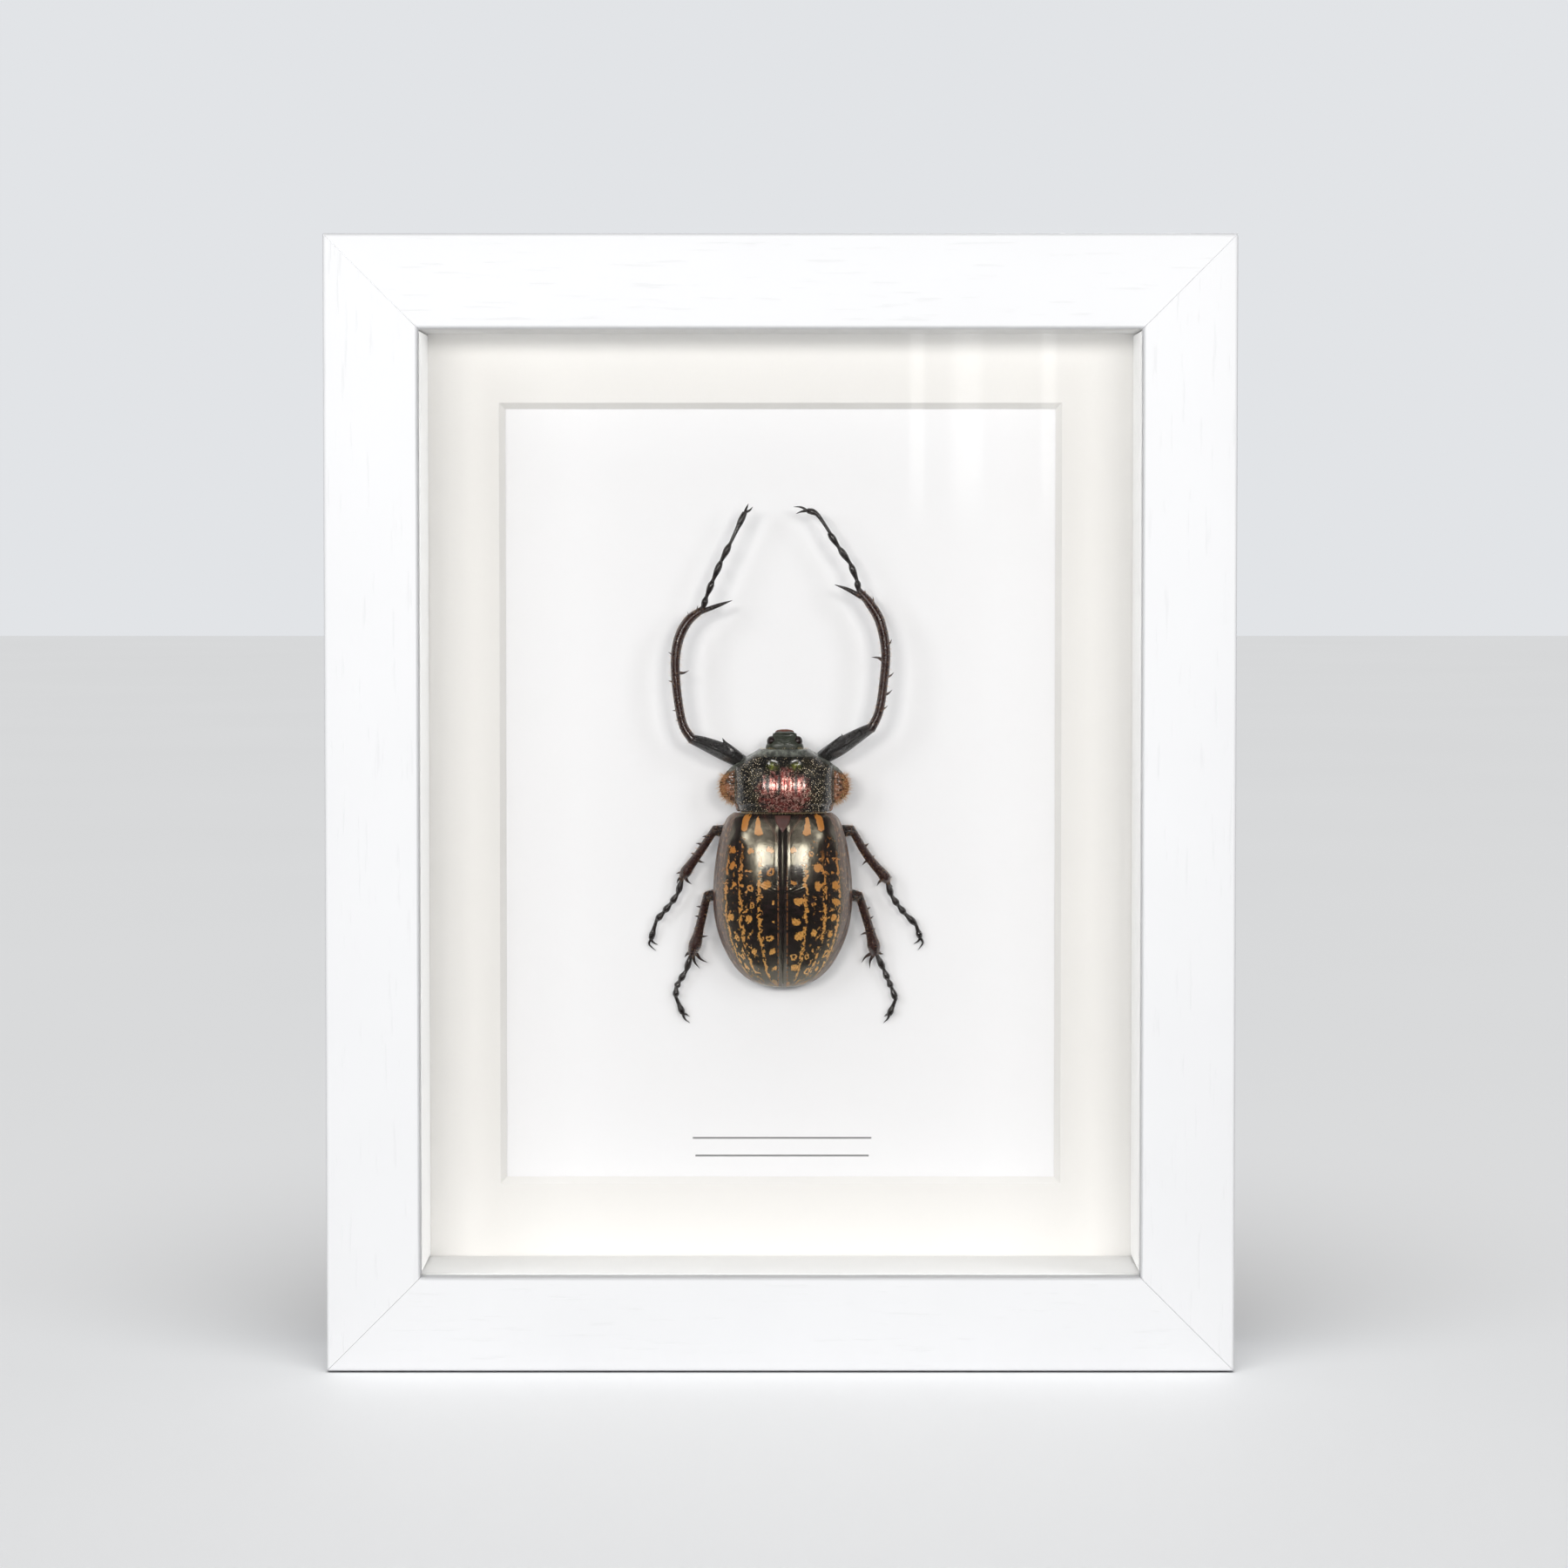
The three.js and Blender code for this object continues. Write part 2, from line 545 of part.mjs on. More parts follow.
// The legs, as seen from the front: left is at -X. Each limb is a list of points with a radius for each.
// Spines are pairs of base and tip. A tarsus has a point for each joint, and two claws from its end.
const legs = {
  fore_leg_left: {
    femur: [[-6, 9, 6.2], [-10, 11.7, 8.2], [-13.8, 13.8, 9.6], [-17.6, 15.5, 10.3], [-20.8, 16.6, 10.5]],
    femurRadii: [1.3, 1.7, 1.9, 1.6, 1.1],
    tibia: [
      [-20.6, 16.4, 10.5],
      [-22.7, 20, 10.5],
      [-24, 27.2, 10.3],
      [-24.4, 34.4, 10.1],
      [-23.5, 39.7, 9.8],
      [-21.3, 43.7, 9.5],
      [-18.2, 46, 9.2],
    ],
    tibiaRadii: [1.0, 0.85, 0.85, 0.9, 0.95, 0.95, 0.85],
    spines: [
      [[-13.4, 14.4, 9.8], [-13.7, 16.7, 9.8], 0.9],
      [[-24.4, 34.4, 10], [-25.9, 36.3, 10], 0.45],
      [[-24.2, 28.6, 10], [-26, 29.8, 10], 0.45],
      [[-23.4, 22.5, 10], [-25.1, 23, 10], 0.45],
      [[-22.8, 20.2, 10], [-24.4, 20.7, 10], 0.4],
      [[-24, 31.7, 10], [-21.3, 32.1, 10], 0.5],
      [[-20.4, 44.8, 9.4], [-19.3, 47, 9.3], 0.45],
      [[-21.8, 43, 9.5], [-21.6, 45.5, 9.5], 0.4],
    ],
    spur: [[-18.6, 45.6, 9.2], [-14.6, 47.1, 9], [-11.7, 48, 9]],
    tarsus: [
      [-18.3, 45.9, 9.2],
      [-17.4, 48.8, 9.2],
      [-15.9, 52.6, 9.3],
      [-14, 57, 9.4],
      [-12, 60.9, 9.3],
      [-8.6, 68.1, 8.5],
    ],
    claws: [[[-8.2, 69.2, 8.3], [-7.8, 70, 8]], [[-7.5, 68.6, 8.3], [-6.9, 69.3, 8]]],
  },
  fore_leg_right: {
    femur: [[6.4, 9.6, 6.2], [9.4, 12.4, 8.2], [13.2, 14.9, 9.6], [17.1, 17.4, 10.3], [20.2, 19.2, 10.5]],
    femurRadii: [1.3, 1.7, 1.9, 1.6, 1.1],
    tibia: [
      [20.1, 18.8, 10.5],
      [21.9, 22.9, 10.5],
      [23, 30, 10.3],
      [23.4, 36.6, 10.1],
      [22.2, 43.1, 9.8],
      [19.8, 47.4, 9.5],
      [17.3, 50.2, 9.2],
    ],
    tibiaRadii: [1.0, 0.85, 0.85, 0.9, 0.95, 0.95, 0.85],
    spines: [
      [[13.4, 15.6, 9.8], [13.4, 17.7, 9.8], 0.9],
      [[23.2, 37.4, 10], [24.7, 39.2, 10], 0.45],
      [[23.2, 30.6, 10], [25.2, 31.7, 10], 0.45],
      [[22.8, 26.6, 10], [24.8, 27.7, 10], 0.45],
      [[22.2, 23.4, 10], [23.9, 24.1, 10], 0.4],
      [[23, 34.3, 10], [20.2, 35.1, 10], 0.5],
      [[18.4, 48.8, 9.4], [18.7, 50.4, 9.3], 0.45],
      [[20.2, 46.8, 9.5], [20.5, 48.9, 9.5], 0.4],
    ],
    spur: [[17.6, 49.2, 9.2], [14.8, 50.7, 9], [12, 51.6, 9]],
    tarsus: [
      [17.3, 50.1, 9.2],
      [16.9, 52.6, 9.2],
      [15.4, 56.4, 9.3],
      [12.8, 60.1, 9.4],
      [10.5, 63.5, 9.3],
      [5.6, 68.5, 8.3],
    ],
    claws: [[[4.2, 69.2, 8.1], [2.6, 69.4, 8]], [[4.3, 68.3, 7.9], [3.1, 67.9, 7.2]]],
  },
  mid_leg_left: {
    femur: [[-8, -6, 3.4], [-12.4, -4.9, 5], [-15.8, -4.5, 6.2]],
    femurRadii: [1.5, 1.5, 1.1],
    tibia: [[-15.6, -4.3, 6.2], [-19, -9.6, 5.4], [-21.6, -13.3, 4.5], [-23, -15.4, 4.1]],
    tibiaRadii: [1.05, 1.15, 1.25, 1.4],
    spines: [
      [[-16.8, -6.2, 6], [-18.3, -6, 6], 0.4],
      [[-18.2, -8.2, 5.7], [-19.8, -7.6, 5.8], 0.4],
      [[-19.6, -10.6, 5.2], [-21, -9.9, 5.2], 0.4],
      [[-22.6, -14.6, 4.2], [-24.3, -14.6, 4], 0.45],
      [[-19.8, -11, 5.2], [-18, -11.9, 5], 0.4],
      [[-22.4, -15.2, 4], [-21, -17, 3.5], 0.45],
      [[-23.2, -15.4, 4], [-24.2, -16.9, 3.5], 0.35],
    ],
    tarsus: [
      [-23, -15.6, 3.9],
      [-24.1, -19.3, 3.3],
      [-25.6, -21.5, 2.9],
      [-27.3, -23.6, 2.5],
      [-29, -25.5, 2.1],
      [-30.3, -29.9, 1.5],
    ],
    claws: [[[-30.7, -31.2, 1.3], [-29.2, -32.6, 1]], [[-29.8, -30.7, 1.2], [-28.9, -31.2, 0.9]]],
  },
  mid_leg_right: {
    femur: [[8, -6, 3.4], [12.4, -4.9, 5], [16.1, -4.5, 6.2]],
    femurRadii: [1.5, 1.5, 1.1],
    tibia: [[15.9, -4.3, 6.2], [19.3, -10.3, 5.4], [22.9, -14.7, 4.5], [24, -16.3, 4.1]],
    tibiaRadii: [1.05, 1.15, 1.25, 1.4],
    spines: [
      [[16.6, -6, 6], [17.7, -5.8, 6], 0.4],
      [[18.2, -8.2, 5.7], [19.6, -7.6, 5.8], 0.4],
      [[19.9, -11, 5.2], [20.8, -10.4, 5.2], 0.4],
      [[23.4, -15.2, 4.2], [25, -15.4, 4], 0.45],
      [[20, -11.4, 5.2], [18.3, -12.5, 5], 0.4],
      [[23.2, -15.9, 4], [21.7, -17.4, 3.5], 0.45],
      [[24.2, -16.2, 4], [25.2, -17.6, 3.5], 0.35],
    ],
    tarsus: [
      [23.9, -16.4, 3.9],
      [25, -19.8, 3.3],
      [26.5, -22, 2.9],
      [28.1, -24, 2.5],
      [30.6, -26.5, 2.1],
      [31.6, -29.5, 1.5],
    ],
    claws: [[[32.2, -30.9, 1.3], [31.1, -32.5, 1]], [[31.2, -30.4, 1.2], [30.3, -31, 0.9]]],
  },
  hind_leg_left: {
    femur: [[-8, -15, 3], [-13, -18.6, 4.4], [-17.4, -19.8, 5.9]],
    femurRadii: [1.6, 1.6, 1.15],
    tibia: [[-17.3, -19.5, 5.9], [-18.8, -25.9, 4.6], [-19.7, -29.6, 3.8], [-20.9, -33.2, 3.2]],
    tibiaRadii: [1.05, 1.15, 1.3, 1.6],
    spines: [
      [[-18.2, -22.6, 5], [-19.7, -22.2, 5], 0.4],
      [[-18.7, -24.9, 4.7], [-20.1, -24.4, 4.8], 0.4],
      [[-19.2, -27.6, 4.3], [-20.3, -27.2, 4.3], 0.35],
      [[-19.4, -28.6, 4.2], [-17.2, -28.9, 4.2], 0.4],
      [[-21.2, -32.8, 3.2], [-22.4, -33.9, 3], 0.45],
      [[-20.6, -33, 3.1], [-19.1, -36.5, 2.5], 0.4],
      [[-20, -32.8, 3.1], [-17.4, -35.1, 2.8], 0.4],
    ],
    tarsus: [
      [-21, -33.2, 3.1],
      [-22.2, -37.1, 2.6],
      [-23.7, -39.5, 2.3],
      [-24.5, -41, 2.1],
      [-24.6, -43.2, 1.9],
      [-23, -47.1, 1.5],
    ],
    claws: [[[-22.6, -48.3, 1.3], [-21.5, -49.3, 1]], [[-22.3, -47.3, 1.2], [-21.6, -47.8, 0.9]]],
  },
  hind_leg_right: {
    femur: [[8, -15, 3], [13.2, -18.6, 4.4], [17.7, -19.9, 5.9]],
    femurRadii: [1.6, 1.6, 1.15],
    tibia: [[17.5, -19.6, 5.9], [19.5, -25.9, 4.6], [20.6, -30, 3.8], [21.3, -33.2, 3.2]],
    tibiaRadii: [1.05, 1.15, 1.3, 1.6],
    spines: [
      [[18.6, -22.7, 5], [20, -22.3, 5], 0.4],
      [[19.2, -24.9, 4.7], [20.7, -24.4, 4.8], 0.4],
      [[19.9, -27.6, 4.3], [21.2, -27.2, 4.3], 0.35],
      [[20, -28.4, 4.2], [17.9, -28.7, 4.2], 0.4],
      [[21.8, -32.6, 3.2], [23, -33.2, 3], 0.45],
      [[20.6, -33, 3.1], [18.2, -35.2, 2.8], 0.4],
      [[21, -33.2, 3.1], [20, -36.5, 2.5], 0.4],
    ],
    tarsus: [
      [21.5, -33.2, 3.1],
      [23.2, -36.8, 2.6],
      [24.2, -39.2, 2.3],
      [25, -41, 2.1],
      [26, -43.8, 1.9],
      [24.5, -47.4, 1.5],
    ],
    claws: [[[24.2, -48.3, 1.3], [23.3, -49.3, 1]], [[24, -47.4, 1.2], [23.5, -47.8, 0.9]]],
  },
};
const tarsusRadii = [0.38, 0.62, 0.55];
const clawSegmentRadii = [0.36, 0.42, 0.72];
const segmentRoot = 0.15;

// A tarsus is a row of short segments, each narrow at its root and swollen at its end.
function tarsusPieces(joints, claws) {
  const pieces = [];
  for (let k = 0; k + 1 < joints.length; k += 1) {
    const to = joints[k + 1];
    const last = k + 2 === joints.length;
    const along = (share) => joints[k].map((value, axis) => THREE.MathUtils.lerp(value, to[axis], share));
    const radii = last ? clawSegmentRadii : tarsusRadii;
    pieces.push(limb([along(-segmentRoot), along(0.7), to], radii, { sides: 6, steps: 2 }));
  }
  const end = joints[joints.length - 1];
  claws.forEach((claw) => pieces.push(limb([end, ...claw], [0.32, 0.24, 0.08], { sides: 5, steps: 4 })));
  return pieces;
}

// A whole leg is one dried piece. Its root is cut to meet the body with a small gap.
function leg({ femur, femurRadii, tibia, tibiaRadii, spines, spur, tarsus, claws }, cutters) {
  const pieces = [
    limb(femur, femurRadii, { steps: 6, height: 0.85 }),
    limb(tibia, tibiaRadii, { steps: 2 * (tibia.length - 1) }),
    ...tarsusPieces(tarsus, claws),
    ...spines.map(([base, tip, radius]) => spine(base, tip, radius)),
  ];
  if (spur) pieces.push(limb(spur, [0.6, 0.45, 0.12], { sides: 6, steps: 4 }));
  return largestBody(cutters.reduce((solid, cutter) => solid.subtract(cutter), joined(pieces)));
}

function beetle() {
  const group = new THREE.Group();
  group.position.set(beetlePlace.x, cardFront, beetlePlace.z);
  group.rotation.x = Math.PI / 2;
  const add = (name, solid, finish) => group.add(named(name, geometryOf(solid), finish));
  const notch = scutellum(jointGap, 1, 1);
  add("head", head(), "coppergreenShell");
  add("pronotum", pronotum(), "coppergreenShell");
  add("scutellum", scutellum(0, 0, 0), "brownShell");
  add("elytron_left", elytron(-1).subtract(notch), "spottedShell");
  add("elytron_right", elytron(1).subtract(notch), "spottedShell");
  add("hind_body", hindBody(0), "blackShell");
  const cutters = [pronotumShell(jointGap), hindBody(jointGap), elytraEnvelope(jointGap)];
  Object.entries(legs).forEach(([name, parts]) => add(name, leg(parts, cutters), "brownShell"));
  return group;
}

const specimen = new THREE.Group();
specimen.add(...frameSides());
specimen.add(sheet("glass_pane", sheetWidth, sheetHeight, glassFront, glassThickness, "clearGlass"));
specimen.add(matBoard());
specimen.add(sheet("title_card", sheetWidth, sheetHeight, cardFront, cardThickness, "whiteCard"));
specimen.add(sheet("backing_board", sheetWidth, sheetHeight, boardFront, boardThickness, "brownBoard"));
specimen.add(hangerPlate(), hangerRivet("hanger_rivet_left", -1), hangerRivet("hanger_rivet_right", 1));
specimen.add(beetle());

export default specimen;
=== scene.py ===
import math

import bmesh
import bpy
import numpy as np
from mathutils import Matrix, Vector


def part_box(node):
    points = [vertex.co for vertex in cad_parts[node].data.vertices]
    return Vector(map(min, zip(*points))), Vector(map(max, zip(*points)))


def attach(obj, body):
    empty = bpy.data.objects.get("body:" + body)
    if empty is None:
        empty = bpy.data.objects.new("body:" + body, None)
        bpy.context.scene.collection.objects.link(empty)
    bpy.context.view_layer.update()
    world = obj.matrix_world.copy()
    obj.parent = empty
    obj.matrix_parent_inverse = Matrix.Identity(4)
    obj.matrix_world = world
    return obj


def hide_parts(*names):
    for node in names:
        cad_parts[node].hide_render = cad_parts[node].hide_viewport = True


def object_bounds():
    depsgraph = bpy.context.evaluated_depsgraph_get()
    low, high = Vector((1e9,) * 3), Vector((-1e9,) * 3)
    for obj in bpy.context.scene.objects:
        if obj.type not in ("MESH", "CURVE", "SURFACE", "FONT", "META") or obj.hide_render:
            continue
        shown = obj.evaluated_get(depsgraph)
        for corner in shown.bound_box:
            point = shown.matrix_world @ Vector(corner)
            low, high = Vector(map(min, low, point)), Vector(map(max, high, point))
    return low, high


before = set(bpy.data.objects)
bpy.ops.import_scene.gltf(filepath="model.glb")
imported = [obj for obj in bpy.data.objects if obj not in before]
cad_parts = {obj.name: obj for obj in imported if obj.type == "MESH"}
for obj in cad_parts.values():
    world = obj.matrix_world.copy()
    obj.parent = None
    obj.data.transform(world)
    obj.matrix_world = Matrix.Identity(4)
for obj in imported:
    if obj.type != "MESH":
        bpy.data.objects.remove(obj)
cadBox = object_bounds()
mm = 0.001
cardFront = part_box("title_card")[0][1]
frameLow, frameHigh = cadBox

# The beetle's own frame is in millimetres: x to the right, y towards the head, z up from the card.
beetlePlace = {"x": 0.5, "up": 124.1}


def toWorld(points):
    points = np.asarray(points, float)
    return np.stack([
        (points[..., 0] + beetlePlace["x"]) * mm,
        cardFront - points[..., 2] * mm,
        (points[..., 1] + beetlePlace["up"]) * mm,
    ], axis=-1)


def placed(name, data):
    made = bpy.data.objects.new(name, data)
    bpy.context.scene.collection.objects.link(made)
    return made


# Camera

cameraSet = {
    "lens": 90,
    "sensor": 36,
    "place": (0.8, -890.6, 188.6),  # mm
    "pitch": -1.903,                # degrees
    "shiftY": -0.08,
}


def addCamera():
    data = bpy.data.cameras.new("photoCamera")
    data.lens = cameraSet["lens"]
    data.sensor_width = cameraSet["sensor"]
    data.shift_y = cameraSet["shiftY"]
    data.clip_end = 50
    camera = placed("photoCamera", data)
    camera.location = Vector(cameraSet["place"]) * mm
    camera.rotation_euler = (math.radians(90 + cameraSet["pitch"]), 0, 0)
    bpy.context.scene.camera = camera


addCamera()
print("camera set")


# Shader building

def feed(tree, slot, value):
    if isinstance(value, Sock):
        tree.links.new(value.socket, slot)
    elif isinstance(value, (tuple, list)):
        size = len(slot.default_value)
        slot.default_value = (*value, 1)[:size] if len(value) < size else value[:size]
    else:
        slot.default_value = value


def mathMethod(operation):
    def method(self, *others):
        return self.math(operation, *others)
    return method


class Sock:
    # A socket that adds Math nodes when it is used in an expression.
    def __init__(self, tree, socket):
        self.tree = tree
        self.socket = socket

    def math(self, operation, *others, first=None):
        node = self.tree.nodes.new("ShaderNodeMath")
        node.operation = operation
        values = (self, *others) if first is None else (first, self)
        for slot, value in zip(node.inputs, values):
            feed(self.tree, slot, value)
        return Sock(self.tree, node.outputs[0])

    def __rsub__(self, other):
        return self.math("SUBTRACT", first=other)

    __add__ = __radd__ = mathMethod("ADD")
    __sub__ = mathMethod("SUBTRACT")
    __mul__ = __rmul__ = mathMethod("MULTIPLY")
    __truediv__ = mathMethod("DIVIDE")
    __abs__ = mathMethod("ABSOLUTE")
    __gt__ = mathMethod("GREATER_THAN")
    __lt__ = mathMethod("LESS_THAN")
    fract = mathMethod("FRACT")
    most = mathMethod("MAXIMUM")


class Finish:
    # One material's node tree.
    def __init__(self, name):
        self.material = bpy.data.materials.new(name)
        self.material.use_nodes = True
        self.tree = self.material.node_tree
        self.tree.nodes.clear()
        self.output = self.tree.nodes.new("ShaderNodeOutputMaterial")

    def node(self, kind, settings=None, ins=None, out=0):
        made = self.tree.nodes.new("ShaderNode" + kind)
        for key, value in (settings or {}).items():
            setattr(made, key, value)
        for key, value in (ins or {}).items():
            feed(self.tree, made.inputs[key], value)
        return Sock(self.tree, made.outputs[out])

    def place(self, scale=(1, 1, 1)):
        coords = self.node("TexCoord", out="Object")
        return self.node("Mapping", {}, {"Vector": coords, "Scale": scale})

    def split(self, vector):
        first = self.node("SeparateXYZ", {}, {"Vector": vector})
        node = first.socket.node
        return [Sock(self.tree, output) for output in node.outputs]

    def vector(self, x, y, z=0.0):
        return self.node("CombineXYZ", {}, {"X": x, "Y": y, "Z": z})

    def noise(self, vector, scale, detail=2.0, rough=0.5):
        ins = {"Vector": vector, "Scale": scale, "Detail": detail, "Roughness": rough}
        return self.node("TexNoise", {}, ins)

    def grain(self, scale, detail=2.0, rough=0.5):
        return self.noise(self.place(), scale, detail, rough)

    def cells(self, vector, scale, spread=1.0, out="Distance", kind="3D"):
        ins = {"Vector": vector, "Scale": scale, "Randomness": spread}
        return self.node("TexVoronoi", {"voronoi_dimensions": kind}, ins, out)

    def step(self, value, low, high):
        ins = {"Value": value, "From Min": low, "From Max": high}
        return self.node("MapRange", {"interpolation_type": "SMOOTHSTEP"}, ins)

    def mix(self, factor, first, second):
        return self.node("Mix", {"data_type": "RGBA"}, {0: factor, 6: first, 7: second}, out=2)

    def written(self, name):
        return self.node("Attribute", {"attribute_name": name}, out="Fac")

    def bump(self, height, strength, distance):
        ins = {"Height": height, "Strength": strength, "Distance": distance}
        return self.node("Bump", {}, ins)

    def surface(self, **ins):
        named = {key.replace("_", " "): value for key, value in ins.items()}
        shader = self.node("BsdfPrincipled", {}, named)
        self.tree.links.new(shader.socket, self.output.inputs["Surface"])
        return self.material


def paintedWood(name, grain):
    # White paint over open grain. The grain vector is small along the rail and large across it.
    f = Finish(name)
    fine = f.noise(f.place(grain), 1.0, 3.0, 0.6)
    pores = f.step(fine, 0.60, 0.70)
    broad = f.noise(f.place((30, 30, 30)), 1.0, 2.0)
    colour = f.mix(broad, (0.735, 0.74, 0.755), (0.775, 0.78, 0.795))
    colour = f.mix(pores * 0.12, colour, (0.55, 0.56, 0.57))
    return f.surface(
        Base_Color=colour,
        Roughness=0.42 + broad * 0.1 + pores * 0.15,
        Specular_IOR_Level=0.4,
        Normal=f.bump(fine * 0.35 - pores, 0.2, 0.0002),
    )


def paperFinish(name, colour, shade, scale=900):
    f = Finish(name)
    fibres = f.grain(scale, 4.0, 0.7)
    cloud = f.grain(25, 2.0)
    mixed = f.mix(fibres * 0.5 + cloud * 0.5, shade, colour)
    return f.surface(
        Base_Color=mixed,
        Roughness=0.88 + fibres * 0.1,
        Specular_IOR_Level=0.2,
        Normal=f.bump(fibres, 0.25, 0.0001),
    )


cardSet = {
    "rules": ((48.0, 20.6), (43.9, 20.0)),  # mm: each rule's height in the frame and half-length
    "ruleMiddle": 0.35,
    "ruleHalfThickness": 0.22,
}


def cardFinish():
    # Smooth white card with two plain thin grey rules.
    f = Finish("whiteCard")
    x, y, z = f.split(f.place((1000, 1000, 1000)))
    ink = None
    for height, half in cardSet["rules"]:
        across = abs(x - cardSet["ruleMiddle"]) < half
        line = across * (abs(z - height) < cardSet["ruleHalfThickness"])
        ink = line if ink is None else ink.most(line)
    fibres = f.grain(1200, 4.0, 0.7)
    paper = f.mix(fibres, (0.89, 0.89, 0.905), (0.925, 0.925, 0.94))
    return f.surface(
        Base_Color=f.mix(ink * 0.8, paper, (0.12, 0.12, 0.125)),
        Roughness=0.8 + fibres * 0.1,
        Specular_IOR_Level=0.25,
        Normal=f.bump(fibres, 0.15, 0.00006),
    )


def hardboardFinish():
    f = Finish("hardboard")
    fibres = f.noise(f.place((300, 300, 60)), 1.0, 6.0, 0.75)
    specks = f.step(f.grain(1400, 2.0), 0.6, 0.72)
    cloud = f.grain(14, 3.0)
    colour = f.mix(fibres, (0.16, 0.09, 0.045), (0.36, 0.24, 0.14))
    colour = f.mix(cloud * 0.4, colour, (0.28, 0.17, 0.09))
    return f.surface(
        Base_Color=f.mix(specks * 0.4, colour, (0.10, 0.055, 0.03)),
        Roughness=0.72 + fibres * 0.2,
        Normal=f.bump(fibres, 0.5, 0.0003),
    )


def metalFinish(name, colour, worn, rough):
    f = Finish(name)
    brushed = f.noise(f.place((3000, 3000, 200)), 1.0, 3.0, 0.6)
    stains = f.grain(160, 4.0, 0.6)
    return f.surface(
        Base_Color=f.mix(f.step(stains, 0.5, 0.75), colour, worn),
        Metallic=1.0,
        Roughness=rough + brushed * 0.15 + stains * 0.15,
        Normal=f.bump(brushed, 0.2, 0.00005),
    )


def glassFinish():
    # Lamps shine through the pane, and it mirrors the room softly.
    f = Finish("clearGlass")
    clear = f.node("BsdfPrincipled", {}, {
        "Base Color": (0.99, 0.992, 0.99),
        "Roughness": 0.0,
        "IOR": 1.45,
        "Specular Tint": (0.2, 0.2, 0.2),
        "Transmission Weight": 1.0,
    })
    through = f.node("BsdfTransparent", {}, {"Color": (0.992, 0.992, 0.992)})
    shadow = f.node("LightPath", out="Is Shadow Ray")
    both = f.node("MixShader", {}, {0: shadow, 1: clear, 2: through})
    f.tree.links.new(both.socket, f.output.inputs["Surface"])
    return f.material


elytraMarks = {
    "columnDegrees": 8.85,     # the spots stand in columns this far apart round the arch
    "spotSpacing": 3.9,        # mm along a column
    "shoulderMarks": (         # column, mm back, half-width, half-length, taper
        (4.35, 2.3, 0.60, 1.9, -0.25),
        (2.55, 3.0, 0.42, 2.1, 0.5),
    ),
    "seamLine": 1.02,          # mm from the seam
}


